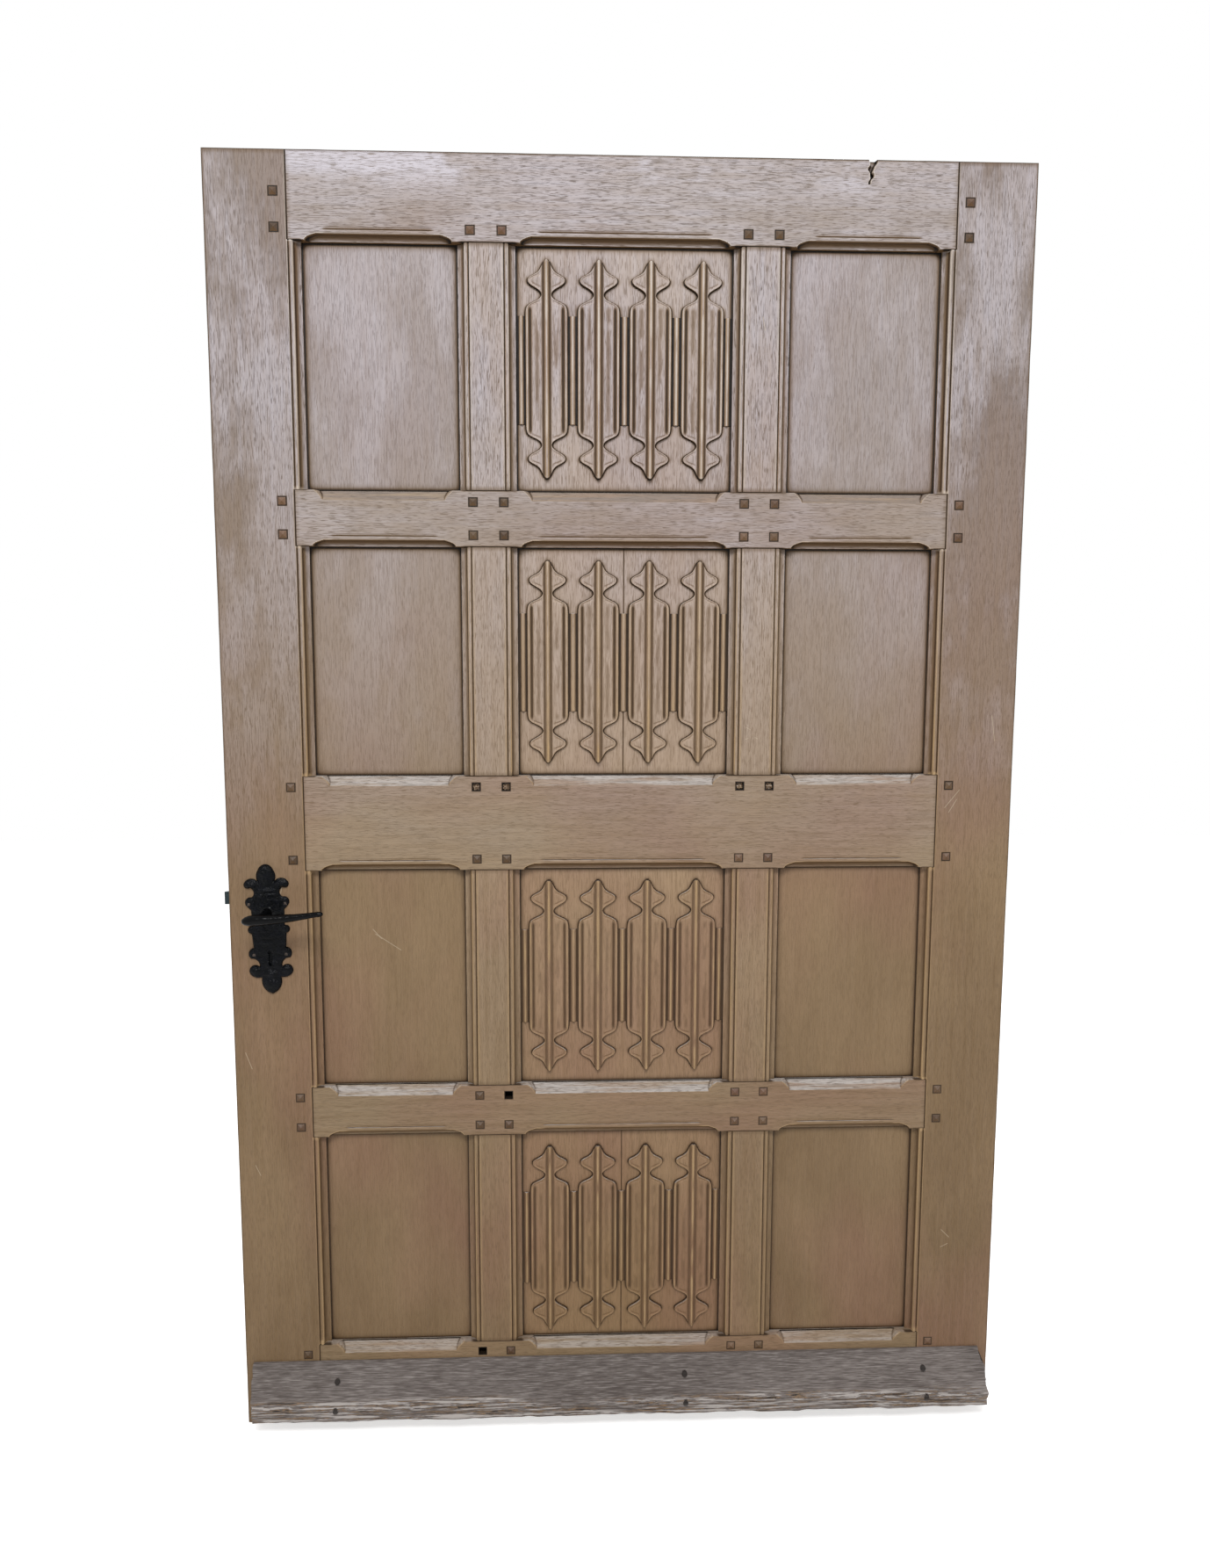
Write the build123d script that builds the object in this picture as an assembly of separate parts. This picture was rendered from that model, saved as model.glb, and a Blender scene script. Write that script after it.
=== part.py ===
"""A panelled oak door leaf with carved linenfold panels and a wrought-iron lever lock.

Two full-height stiles carry five rails, and short muntins stand between the rails. They are
joined by pegged mortises and tenons and hold twelve panels in grooves: plain ones at the sides
and carved ones down the middle. A weather board is nailed along the foot.

X runs across the leaf from the lock edge (-X) to the hinge edge (+X). Y runs through the leaf,
with the show face towards -Y. Z is up, and the origin is the centre of the leaf's underside.
All sizes are in millimetres.
"""

import os

from build123d import *

# Framing
THICKNESS = 48.0
STILE_WIDTH = 145.0
MUNTIN_WIDTH = 90.0
SIDE_OPENING = 242.5
MIDDLE_OPENING = 345.0
BOTTOM_RAIL = 142.0
ROW_4 = 376.0
LOWER_RAIL = 88.0
ROW_3 = 371.0
MIDDLE_RAIL = 156.5
ROW_2 = 369.5
UPPER_RAIL = 88.0
ROW_1 = 377.0
TOP_RAIL = 132.0

# Joinery
GROOVE_DEPTH = 10.0
PANEL_THICKNESS = 14.0
PANEL_SETBACK = 16.0
PANEL_SLACK = 0.8
FIT = 0.2
STILE_TENON_LENGTH = 85.0
TENON_GAP = 1.0
MUNTIN_TENON_LENGTH = 36.0
TENON_STEP = 2.0
TOP_HAUNCH = 22.0

# Moulding worked on the stiles and muntins, from the opening's edge to the quirk
MOULD_WIDTH = 18.5
MOULD_DEPTH = 12.0
MOULD_FILLET = 2.2
BEAD_START = 10.5
BEAD_END = 16.7
QUIRK_DEPTH = 2.4

# Sloping chamfers on top of the rails, with an ear left at each end
CHAMFER_HEIGHT = 16.5
CHAMFER_DEPTH = 13.5
CHAMFER_INSET = 24.0
EAR_RUN = 14.0
EAR_SCOOP = 9.0

# Hollow under the rails, with curved stops
HOLLOW_HEIGHT = 10.0
HOLLOW_DEPTH = 11.0
HOLLOW_START = 8.0
HOLLOW_FULL = 26.0

# How many straight chords stand for one curved stretch
FINE_CHORD_COUNT = 3
COARSE_CHORD_COUNT = 2
KEY_CHORD_COUNT = 5

# Square pegs
PEG_WIDTH = 12.0
PEG_FIT = 0.1
PEG_HEAD_HEIGHT = 3.0
PEG_LENGTH = 37.0
PEG_HOLE_DEPTH = 38.0
PEG_FROM_SHOULDER = 20.0
PEG_FROM_EDGE = 18.0
PEG_FROM_TENON_SIDE = 8.5
TOP_PEG_DROP = 61.0
FOOT_PEG_RISE = 45.0
SUNK_DEPTH = 5.0

# Linenfold carving
FOLD_PITCH = 82.6
FOLD_HALF = 33.0
FOLD_END = 79.0
FOLD_MARGIN = 21.5
FOLD_REACH = 12.0
STRIP_FROM_TIP = 83.4
STRIP_LAP = 0.4
SIDE_STRIP_GAP = 1.0
CARVE_ROOT = 1.0
ROW_4_DROP = 6.0

# Split at the top edge of the top rail
SPLIT_X = 387.0
SPLIT_WIDTH = 12.0
SPLIT_FALL = 33.0
SPLIT_DEPTH = 9.0

# Weather board
BOARD_FOOT = 33.0
BOARD_HEIGHT = 80.0
BOARD_LIP = 4.0
BOARD_REACH = 46.0
BOARD_NOSE = 20.0
BOARD_INSET_LOCK = 12.0
BOARD_INSET_HINGE = 10.0
DRIP_WIDTH = 6.0
DRIP_DEPTH = 4.0
DRIP_BACK = 8.0
BOARD_NAIL_FROM_LOCK_PEGS = 53.5
BOARD_NAIL_FROM_HINGE_PEGS = 14.5
BOARD_NAIL_OFF_CENTRE = 109.0
BOARD_NAIL_RISE = (17.0, 54.0)
BOARD_NAIL_HEAD = 7.4
BOARD_NAIL_HEAD_HEIGHT = 1.8
BOARD_NAIL_SHANK = 4.0
BOARD_NAIL_BITE = 22.0
BOARD_NAIL_SINK = 3.0

# Lock
SPINDLE_Z = 908.0
BACKSET = 63.0
CASE_DEPTH = 84.0
CASE_WALL = 1.5
CASE_THICKNESS = 15.0
CASE_TOP = 54.0
CASE_BOTTOM = 96.0
FOREND_THICKNESS = 3.0
FOREND_WIDTH = 22.0
FOREND_OVERHANG = 20.0
FOREND_NAIL_IN = 9.0
FOREND_NAIL_LENGTH = 25.0
FOREND_NAIL_HEAD = 7.0
FOREND_NAIL_HEAD_DEPTH = 1.8
FOREND_NAIL_SHANK = 3.6
POCKET_FIT = 0.3
SPINDLE_SQUARE = 8.0
SPINDLE_FIT = 0.1
HUB_RADIUS = 8.9
HUB_FIT = 0.1
FINGER_HALF = 2.5
FINGER_TOP = 20.0
LATCH_LOW = 10.0
LATCH_HEIGHT = 21.0
LATCH_THICK = 11.0
LATCH_THROW = 12.0
LATCH_HEAD = 22.0
LATCH_NOSE = 3.0
LATCH_LAND = 1.0
LATCH_TAIL_RISE = 15.0
LATCH_TAIL_HEIGHT = 5.5
LATCH_TAIL_THICK = 6.0
LUG_WIDTH = 6.0
LUG_BOTTOM = 10.5
SLIDE_FIT = 0.3
KEY_DROP = 68.0
KEY_RADIUS = 3.6
KEY_SLOT_WIDTH = 3.8
KEY_SLOT_LENGTH = 21.0
KEY_PASSAGE = 4.6
BOLT_BOTTOM = -55.0
BOLT_HEIGHT = 21.0
BOLT_THICK = 8.0
BOLT_LENGTH = 74.0
TALON_WIDTH = 12.0
TALON_DEPTH = 6.0
SPRING_GAUGE = 0.8
SPRING_WIDTH = 7.0
SPRING_FOOT = 10.0
SPRING_TIP_DROP = 4.0
BOLT_SPRING_LAP = 30.0
BOLT_SPRING_FLAT = 12.0
BOLT_SPRING_FOOT = 5.0

# Handle plate and lever
PLATE_THICKNESS = 3.0
PLATE_TILT = 1.6
PLATE_HALF = 35.0
PLATE_RISE = 81.0
PLATE_DROP = 137.5
REAR_PLATE_WIDTH = 74.0
REAR_PLATE_RISE = 60.0
REAR_PLATE_DROP = 110.0
NECK_RADIUS = 7.5
NECK_FIT = 0.3
ARM_STANDOFF = 54.0
ARM_TILT = 5.2
ARM_TAIL = 29.0
ARM_REACH = 101.0
ARM_RADIUS = 9.2
ARM_SIDES = 12
SPINDLE_BITE = 26.0
PIN_WIDTH = 2.6
PIN_FIT = 0.05
PIN_FROM_PLATE = 12.0
SPINDLE_HOLE = 20.0
PLATE_NAILS = ((29.5, 15.0), (26.5, -70.5))
PLATE_NAIL_HEAD = 6.4
PLATE_NAIL_HEAD_HEIGHT = 2.0
PLATE_NAIL_SHANK = 3.0
PLATE_NAIL_LENGTH = 16.0
NAIL_FIT = 0.2

# How far a cutting shape runs past the surface it starts from
OVERRUN = 1.0

# Places worked out from the sizes above
LEAF_WIDTH = 2 * STILE_WIDTH + 2 * MUNTIN_WIDTH + 2 * SIDE_OPENING + MIDDLE_OPENING
FACE = -THICKNESS / 2
BACK = THICKNESS / 2
HALF_WIDTH = LEAF_WIDTH / 2
STILE_FACE = STILE_WIDTH - MOULD_WIDTH
OPENING_EDGE = HALF_WIDTH - STILE_WIDTH
SHOULDER = HALF_WIDTH - STILE_FACE
STILE_PEG_X = SHOULDER + PEG_FROM_SHOULDER
PANEL_FRONT = FACE + PANEL_SETBACK
PANEL_BACK = PANEL_FRONT + PANEL_THICKNESS
MUNTIN_X = MIDDLE_OPENING / 2 + MUNTIN_WIDTH / 2
MUNTIN_TENON_WIDTH = MUNTIN_WIDTH - 2 * GROOVE_DEPTH - 2 * TENON_STEP
PEG_SPREAD = MUNTIN_TENON_WIDTH / 2 - PEG_FROM_TENON_SIDE
SPINDLE_X = -HALF_WIDTH + BACKSET
LATCH_BOTTOM = SPINDLE_Z + LATCH_LOW
LOCK_EDGE = -HALF_WIDTH
BOARD_NAIL_X = (
    BOARD_NAIL_FROM_LOCK_PEGS - STILE_PEG_X,
    BOARD_NAIL_OFF_CENTRE,
    STILE_PEG_X - BOARD_NAIL_FROM_HINGE_PEGS,
)


def stacked_spans():
    """Z span of every rail and every row of panels, from the foot to the top."""
    heights = (
        ("rail_bottom", BOTTOM_RAIL),
        ("row_4", ROW_4),
        ("rail_lower", LOWER_RAIL),
        ("row_3", ROW_3),
        ("rail_middle", MIDDLE_RAIL),
        ("row_2", ROW_2),
        ("rail_upper", UPPER_RAIL),
        ("row_1", ROW_1),
        ("rail_top", TOP_RAIL),
    )
    spans = {}
    level = 0.0
    for name, height in heights:
        spans[name] = (level, level + height)
        level += height
    return spans


SPANS = stacked_spans()
RAILS = ("rail_bottom", "rail_lower", "rail_middle", "rail_upper", "rail_top")
ROWS = ("row_1", "row_2", "row_3", "row_4")
LEAF_HEIGHT = SPANS["rail_top"][1]
OPENINGS = {
    "left": (-OPENING_EDGE, -OPENING_EDGE + SIDE_OPENING),
    "middle": (-MIDDLE_OPENING / 2, MIDDLE_OPENING / 2),
    "right": (OPENING_EDGE - SIDE_OPENING, OPENING_EDGE),
}
MUNTINS = {"left": -MUNTIN_X, "right": MUNTIN_X}
RAIL_ABOVE = {
    "row_1": "rail_top",
    "row_2": "rail_upper",
    "row_3": "rail_middle",
    "row_4": "rail_lower",
}
RAIL_BELOW = {
    "row_1": "rail_upper",
    "row_2": "rail_middle",
    "row_3": "rail_lower",
    "row_4": "rail_bottom",
}

# Pegs that are not whole: muntin, row, end of the muntin, side of its centre line
MISSING_PEGS = (("left", "row_3", "foot", 1), ("left", "row_4", "foot", -1))
BROKEN_PEGS = (
    ("left", "row_2", "foot", -1),
    ("left", "row_2", "foot", 1),
    ("right", "row_2", "foot", -1),
    ("right", "row_2", "foot", 1),
)


def block(x0, x1, y0, y1, z0, z1):
    """Plain box between two corners."""
    size = Box(x1 - x0, y1 - y0, z1 - z0)
    return Pos((x0 + x1) / 2, (y0 + y1) / 2, (z0 + z1) / 2) * size


def square_bar(x, z, width, y0, y1):
    """Square bar, or the hole for one, lying along Y."""
    half = width / 2
    return block(x - half, x + half, y0, y1, z - half, z + half)


def prism_x(outline, x0, x1):
    """Outline drawn in Y and Z, carried along X."""
    return Pos(x0, 0, 0) * extrude(Plane.YZ * make_face(outline), x1 - x0)


def prism_y(outline, y0, y1):
    """Outline drawn in X and Z, carried along Y."""
    return Pos(0, y1, 0) * extrude(Plane.XZ * make_face(outline), y1 - y0)


def prism_z(outline, z0, z1):
    """Outline drawn in X and Y, carried along Z."""
    return Pos(0, 0, z0) * extrude(make_face(outline), z1 - z0)


def pyramid(x, z, base, width, height, outwards):
    """Low square pyramid along Y on a flat base, where two gabled prisms cross."""
    half = width / 2
    tip = base + outwards * height
    upright = prism_z(closed((x - half, base), (x, tip), (x + half, base)), z - half, z + half)
    level = prism_x(closed((base, z - half), (tip, z), (base, z + half)), x - half, x + half)
    return upright & level


def closed(*points):
    """Closed run of straight lines."""
    return Polyline(*points, close=True)


def bend(start, middle, end, chord_count=FINE_CHORD_COUNT):
    """Points along the arc through three points, evenly spaced, without the last one."""
    arc = ThreePointArc(start, middle, end)
    places = [arc @ (step / chord_count) for step in range(chord_count)]
    return [(place.X, place.Y) for place in places]


def rod(radius, x, z, y0, y1):
    """Round bar lying along Y."""
    bar = Cylinder(radius, y1 - y0, align=(Align.CENTER, Align.CENTER, Align.MIN))
    return Pos(x, y0, z) * Rot(-90, 0, 0) * bar


def moulding_cut(edge, side, z0, z1):
    """Wood removed for the moulding: a quirk, a bead and a hollow down to a fillet."""

    def at(inwards, depth):
        return (edge + side * inwards, FACE + depth)

    bead_top = ((BEAD_START + BEAD_END) / 2, 0.2)
    hollow_mid = (MOULD_FILLET + 0.73 * (BEAD_START - MOULD_FILLET), 0.74 * MOULD_DEPTH)
    bead = (at(BEAD_END, QUIRK_DEPTH), at(*bead_top), at(BEAD_START, QUIRK_DEPTH))
    hollow = (at(BEAD_START, QUIRK_DEPTH), at(*hollow_mid), at(MOULD_FILLET, MOULD_DEPTH))
    outline = closed(
        at(-OVERRUN, -OVERRUN),
        at(MOULD_WIDTH, -OVERRUN),
        at(MOULD_WIDTH, QUIRK_DEPTH),
        *bend(*bead),
        *bend(*hollow, COARSE_CHORD_COUNT),
        at(MOULD_FILLET, MOULD_DEPTH),
        at(-OVERRUN, MOULD_DEPTH),
    )
    return prism_z(outline, z0, z1)


def scooped_outline(x0, x1, low, over, inwards):
    """Outline of a chamfer between its two ears, whose rounded ends lean in by a distance."""
    left = x0 + CHAMFER_INSET + inwards
    right = x1 - CHAMFER_INSET - inwards
    bulge = 0.45 * EAR_RUN
    rise = 0.65 * CHAMFER_HEIGHT
    right_ear = ((right, low), (right + bulge, low + rise), (right + EAR_RUN, over))
    left_ear = ((left - EAR_RUN, over), (left - bulge, low + rise), (left, low))
    ends = ((right + EAR_RUN, over), (left, low))
    return closed(*bend(*right_ear), ends[0], *bend(*left_ear), ends[1])


def chamfer_cut(x0, x1, top):
    """Wood removed for the sloping chamfer of one opening, with scooped ends at the ears."""
    low = top - CHAMFER_HEIGHT
    over = top + OVERRUN
    depth = CHAMFER_DEPTH + 2 * OVERRUN
    mouth = scooped_outline(x0, x1, low, over, 0)
    floor = scooped_outline(x0, x1, low, over, EAR_SCOOP)
    front = Plane((0, FACE, 0), x_dir=(1, 0, 0), z_dir=(0, -1, 0))
    rear = front.offset(-depth)
    scoop = loft([front * make_face(mouth), rear * make_face(floor)], ruled=True)
    fall = CHAMFER_HEIGHT / CHAMFER_DEPTH
    slope = closed(
        (FACE - OVERRUN, low - fall),
        (FACE + depth, low + depth * fall),
        (FACE + depth, top + 2 * OVERRUN),
        (FACE - OVERRUN, top + 2 * OVERRUN),
    )
    return scoop & prism_x(slope, x0, x1)


def hollow_cut(x0, x1, bottom):
    """Wood removed for the stopped hollow under one stretch of rail."""
    full = bottom + HOLLOW_HEIGHT
    under = bottom - OVERRUN
    mid_x = 0.4 * (HOLLOW_FULL - HOLLOW_START)
    mid_z = bottom + 0.64 * HOLLOW_HEIGHT
    start_l = x0 + HOLLOW_START
    start_r = x1 - HOLLOW_START
    left_stop = ((x0 + HOLLOW_FULL, full), (start_l + mid_x, mid_z), (start_l, bottom))
    right_stop = ((start_r, bottom), (start_r - mid_x, mid_z), (x1 - HOLLOW_FULL, full))
    outline = closed(
        (start_l, under),
        (start_r, under),
        *bend(*right_stop, COARSE_CHORD_COUNT),
        (x1 - HOLLOW_FULL, full),
        *bend(*left_stop, COARSE_CHORD_COUNT),
        (start_l, bottom),
    )
    deep = FACE + HOLLOW_DEPTH
    cove_mid = (FACE + 0.7 * HOLLOW_DEPTH, bottom + 0.72 * HOLLOW_HEIGHT)
    cove = closed(
        *bend((FACE, full), cove_mid, (deep, bottom), COARSE_CHORD_COUNT),
        (deep, bottom),
        (deep, under),
        (FACE - OVERRUN, under),
        (FACE - OVERRUN, full),
    )
    return prism_y(outline, FACE - OVERRUN, deep + OVERRUN) & prism_x(cove, x0, x1)


def peg_hole(x, z):
    """Square hole driven from the face through cheek and tenon."""
    return square_bar(x, z, PEG_WIDTH + 2 * PEG_FIT, FACE - OVERRUN, FACE + PEG_HOLE_DEPTH)


def whole_peg(x, z):
    """Square peg whose end stands on the face as a low pyramid."""
    return short_peg(x, z, 0) + pyramid(x, z, FACE, PEG_WIDTH, PEG_HEAD_HEIGHT, -1)


def short_peg(x, z, sunk):
    """Square peg with no head, ending below or level with the face."""
    return square_bar(x, z, PEG_WIDTH, FACE + sunk, FACE + PEG_LENGTH)


def stile_peg_places(side):
    """Peg centres in one stile that carry a head, from the top down."""
    x = side * STILE_PEG_X
    places = [(x, SPANS["rail_top"][1] - TOP_PEG_DROP)]
    places.append((x, SPANS["rail_top"][0] + PEG_FROM_EDGE))
    for name in ("rail_upper", "rail_middle", "rail_lower"):
        low, high = SPANS[name]
        places.append((x, high - PEG_FROM_EDGE))
        places.append((x, low + PEG_FROM_EDGE))
    places.append((x, SPANS["rail_bottom"][1] - PEG_FROM_EDGE))
    return places


def foot_peg_place(side):
    """Peg of the bottom rail that the weather board hides."""
    return (side * STILE_PEG_X, FOOT_PEG_RISE)


def muntin_peg_places(name):
    """Key and centre of each peg that holds one line of muntins."""
    places = {}
    for row in ROWS:
        low, high = SPANS[row]
        for offset in (-1, 1):
            x = MUNTINS[name] + offset * PEG_SPREAD
            places[(name, row, "head", offset)] = (x, high + PEG_FROM_EDGE)
            places[(name, row, "foot", offset)] = (x, low - PEG_FROM_EDGE)
    return places


def tenon_span(rail):
    """Z span of the tenon that a rail has at each end."""
    low, high = SPANS[rail]
    bottom = low + GROOVE_DEPTH
    top = high - GROOVE_DEPTH
    if rail == "rail_top":
        top = high - TOP_HAUNCH
    if rail == "rail_bottom":
        bottom = low + TOP_HAUNCH
    return bottom, top


def keyhole_outline(x, z, grow):
    """Round head with a straight slot below it, in X and Z."""
    slot = KEY_SLOT_WIDTH / 2 + grow
    radius = KEY_RADIUS + grow
    shoulder = z - (radius**2 - slot**2) ** 0.5
    foot = z - KEY_SLOT_LENGTH - grow
    head = bend((x - slot, shoulder), (x, z + radius), (x + slot, shoulder), KEY_CHORD_COUNT)
    return closed(*head, (x + slot, shoulder), (x + slot, foot), (x - slot, foot))


def key_passage(y0, y1, grow):
    """Cut for the key through any plate or cheek."""
    return prism_y(keyhole_outline(SPINDLE_X, SPINDLE_Z - KEY_DROP, grow), y0, y1)


def lock_pocket():
    """Wood removed from the lock stile for case, forend, spindle, key and nails."""
    half = CASE_THICKNESS / 2 + POCKET_FIT
    low = SPINDLE_Z - CASE_BOTTOM
    high = SPINDLE_Z + CASE_TOP
    rear = LOCK_EDGE + CASE_DEPTH + FOREND_THICKNESS + POCKET_FIT
    pocket = block(LOCK_EDGE - OVERRUN, rear, -half, half, low - POCKET_FIT, high + POCKET_FIT)
    wide = FOREND_WIDTH / 2 + FIT
    ends = FOREND_OVERHANG + FIT
    seat = block(
        LOCK_EDGE - OVERRUN, LOCK_EDGE + FOREND_THICKNESS, -wide, wide, low - ends, high + ends
    )
    bore = square_bar(SPINDLE_X, SPINDLE_Z, SPINDLE_HOLE, FACE - OVERRUN, BACK + OVERRUN)
    passage = key_passage(FACE - OVERRUN, BACK + OVERRUN, KEY_PASSAGE - KEY_RADIUS)
    nails = [forend_nail(z, NAIL_FIT) for z in forend_nail_places()]
    return [pocket, seat, bore, passage, *nails, *plate_nail_holes(-1), *plate_nail_holes(1)]


def plate_point(x, z, face_side):
    """Place on the leaf of a point drawn on the handle plate."""
    tilt = PLATE_TILT if face_side < 0 else 0.0
    turned = Vector(x, 0, z).rotate(Axis.Y, -tilt)
    return (SPINDLE_X + turned.X, SPINDLE_Z + turned.Z)


def plate_nail_places(face_side):
    """Nail centres of one handle plate."""
    return [
        plate_point(side * x, z, face_side) for x, z in PLATE_NAILS for side in (-1, 1)
    ]


def plate_nail_holes(face_side):
    """Holes in the stile for the nails of one handle plate."""
    width = PLATE_NAIL_SHANK + 2 * NAIL_FIT
    inner = BACK - PLATE_NAIL_LENGTH
    span = (FACE - OVERRUN, -inner) if face_side < 0 else (inner, BACK + OVERRUN)
    return [square_bar(x, z, width, *span) for x, z in plate_nail_places(face_side)]


def stile(side):
    """One stile, moulded along every opening and recessed for every rail."""
    edge = side * OPENING_EDGE
    outer = side * HALF_WIDTH
    body = block(min(edge, outer), max(edge, outer), FACE, BACK, 0, LEAF_HEIGHT)
    cuts = []
    for row in ROWS:
        low, high = SPANS[row]
        cuts.append(moulding_cut(edge, side, low, high))
        cuts.append(groove_block(edge, side, low - GROOVE_DEPTH, high + GROOVE_DEPTH))
    for rail in RAILS:
        cuts.extend(rail_housing(edge, side, rail))
    places = [*stile_peg_places(side), foot_peg_place(side)]
    cuts.extend(peg_hole(x, z) for x, z in places)
    inner_edge = HALF_WIDTH - STILE_WIDTH
    cuts.extend(hole for x, hole in board_nail_holes() if side * x > inner_edge)
    if side < 0:
        cuts.extend(lock_pocket())
    return body - cuts


def groove_block(edge, side, z0, z1):
    """Wood removed for the upright panel groove beside one opening."""
    bottom = edge + side * GROOVE_DEPTH
    mouth = edge - side * OVERRUN
    return block(
        min(mouth, bottom),
        max(mouth, bottom),
        PANEL_FRONT - POCKET_FIT,
        PANEL_BACK + POCKET_FIT,
        z0,
        z1,
    )


def rail_housing(edge, side, rail):
    """Recess for a rail's long front shoulder, and the mortise behind it."""
    low, high = SPANS[rail]
    outer = edge + side * MOULD_WIDTH
    mouth = edge - side * OVERRUN
    front = block(
        min(mouth, outer), max(mouth, outer), FACE - OVERRUN, FACE + MOULD_DEPTH, low, high
    )
    bottom, top = tenon_span(rail)
    deep = edge + side * (STILE_TENON_LENGTH + TENON_GAP)
    mortise = block(
        min(mouth, deep),
        max(mouth, deep),
        PANEL_FRONT - POCKET_FIT,
        PANEL_BACK + POCKET_FIT,
        bottom - FIT,
        top + FIT,
    )
    return [front, mortise]


def rail_blank(rail):
    """Rail with its front shoulders and tenons, before it is moulded."""
    low, high = SPANS[rail]
    core = OPENING_EDGE - FIT
    lap = SHOULDER - FIT
    bottom, top = tenon_span(rail)
    reach = OPENING_EDGE + STILE_TENON_LENGTH
    body = block(-core, core, FACE, BACK, low, high)
    shoulders = block(-lap, lap, FACE, FACE + MOULD_DEPTH - FIT, low, high)
    tenons = block(-reach, reach, PANEL_FRONT, PANEL_BACK, bottom, top)
    return body + [shoulders, tenons]


def rail_groove(edge, upwards):
    """Groove along one edge of a rail, with a mortise at each muntin."""
    span = (edge - GROOVE_DEPTH, edge + OVERRUN) if upwards else (edge - OVERRUN, edge + GROOVE_DEPTH)
    deep = MUNTIN_TENON_LENGTH + TENON_GAP
    mortise = (edge - deep, edge + OVERRUN) if upwards else (edge - OVERRUN, edge + deep)
    front = PANEL_FRONT - POCKET_FIT
    rear = PANEL_BACK + POCKET_FIT
    half = MUNTIN_TENON_WIDTH / 2 + FIT
    cuts = [block(-OPENING_EDGE, OPENING_EDGE, front, rear, *span)]
    cuts.extend(block(x - half, x + half, front, rear, *mortise) for x in MUNTINS.values())
    return cuts


def rail(name):
    """One rail: chamfered where panels stand on it, hollowed where they hang below it."""
    low, high = SPANS[name]
    cuts = []
    if name != "rail_top":
        cuts.extend(rail_groove(high, True))
        cuts.extend(chamfer_cut(x0, x1, high) for x0, x1 in OPENINGS.values())
    if name != "rail_bottom":
        cuts.extend(rail_groove(low, False))
        cuts.extend(hollow_cut(x0, x1, low) for x0, x1 in OPENINGS.values())
    for muntin in MUNTINS:
        for key, (x, z) in muntin_peg_places(muntin).items():
            if name == pegged_rail(key):
                cuts.append(peg_hole(x, z))
    for side in (-1, 1):
        places = [*stile_peg_places(side), foot_peg_place(side)]
        cuts.extend(peg_hole(x, z) for x, z in places if low < z < high)
    if name == "rail_top":
        cuts.append(split_cut())
    if name == "rail_bottom":
        cuts.extend(hole for _, hole in board_nail_holes())
    return rail_blank(name) - cuts


def pegged_rail(key):
    """Rail that a muntin peg passes through."""
    _, row, end, _ = key
    return RAIL_ABOVE[row] if end == "head" else RAIL_BELOW[row]


def split_cut():
    """Ragged split that runs down from the top edge of the top rail."""
    top = LEAF_HEIGHT + OVERRUN
    foot = LEAF_HEIGHT - SPLIT_FALL
    outline = closed(
        (SPLIT_X - SPLIT_WIDTH / 2, top),
        (SPLIT_X - SPLIT_WIDTH / 3, foot),
        (SPLIT_X, top - SPLIT_FALL / 3),
        (SPLIT_X + SPLIT_WIDTH / 5, foot + SPLIT_FALL / 4),
        (SPLIT_X + SPLIT_WIDTH / 2, top),
    )
    return prism_y(outline, FACE - OVERRUN, FACE + SPLIT_DEPTH)


def muntin(name, row):
    """Short upright between two rails, moulded and grooved on both edges."""
    centre = MUNTINS[name]
    low, high = SPANS[row]
    half = MUNTIN_WIDTH / 2
    body = block(centre - half, centre + half, FACE, BACK, low + FIT, high - FIT)
    tenon_half = MUNTIN_TENON_WIDTH / 2
    tenons = block(
        centre - tenon_half,
        centre + tenon_half,
        PANEL_FRONT,
        PANEL_BACK,
        low - MUNTIN_TENON_LENGTH,
        high + MUNTIN_TENON_LENGTH,
    )
    cuts = []
    for side in (-1, 1):
        edge = centre + side * half
        cuts.append(moulding_cut(edge, -side, low, high))
        cuts.append(groove_block(edge, -side, low, high))
    for key, (x, z) in muntin_peg_places(name).items():
        if key[1] == row:
            cuts.append(peg_hole(x, z))
    return (body + tenons) - cuts


def panel_board(opening, row):
    """Flat board that stands in the grooves around one opening."""
    x0, x1 = OPENINGS[opening]
    low, high = SPANS[row]
    tongue = GROOVE_DEPTH - PANEL_SLACK
    return block(
        x0 - tongue, x1 + tongue, PANEL_FRONT, PANEL_BACK, low - tongue, high + tongue
    )


def fold_section():
    """Section of a fold in X and Y: sharp crest, hollow flanks, broad bands and edge arrises."""
    half = (
        (0.15 * FOLD_HALF, -4.6),
        (0.29 * FOLD_HALF, -5.8),
        (0.65 * FOLD_HALF, -5.4),
        (0.80 * FOLD_HALF, -3.4),
        (FOLD_HALF - 2.0, -6.4),
        (FOLD_HALF, -5.2),
        (FOLD_HALF, CARVE_ROOT),
    )
    mirrored = [(-x, y) for x, y in reversed(half)]
    return closed((0, -9.2), *half, *mirrored)


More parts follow.
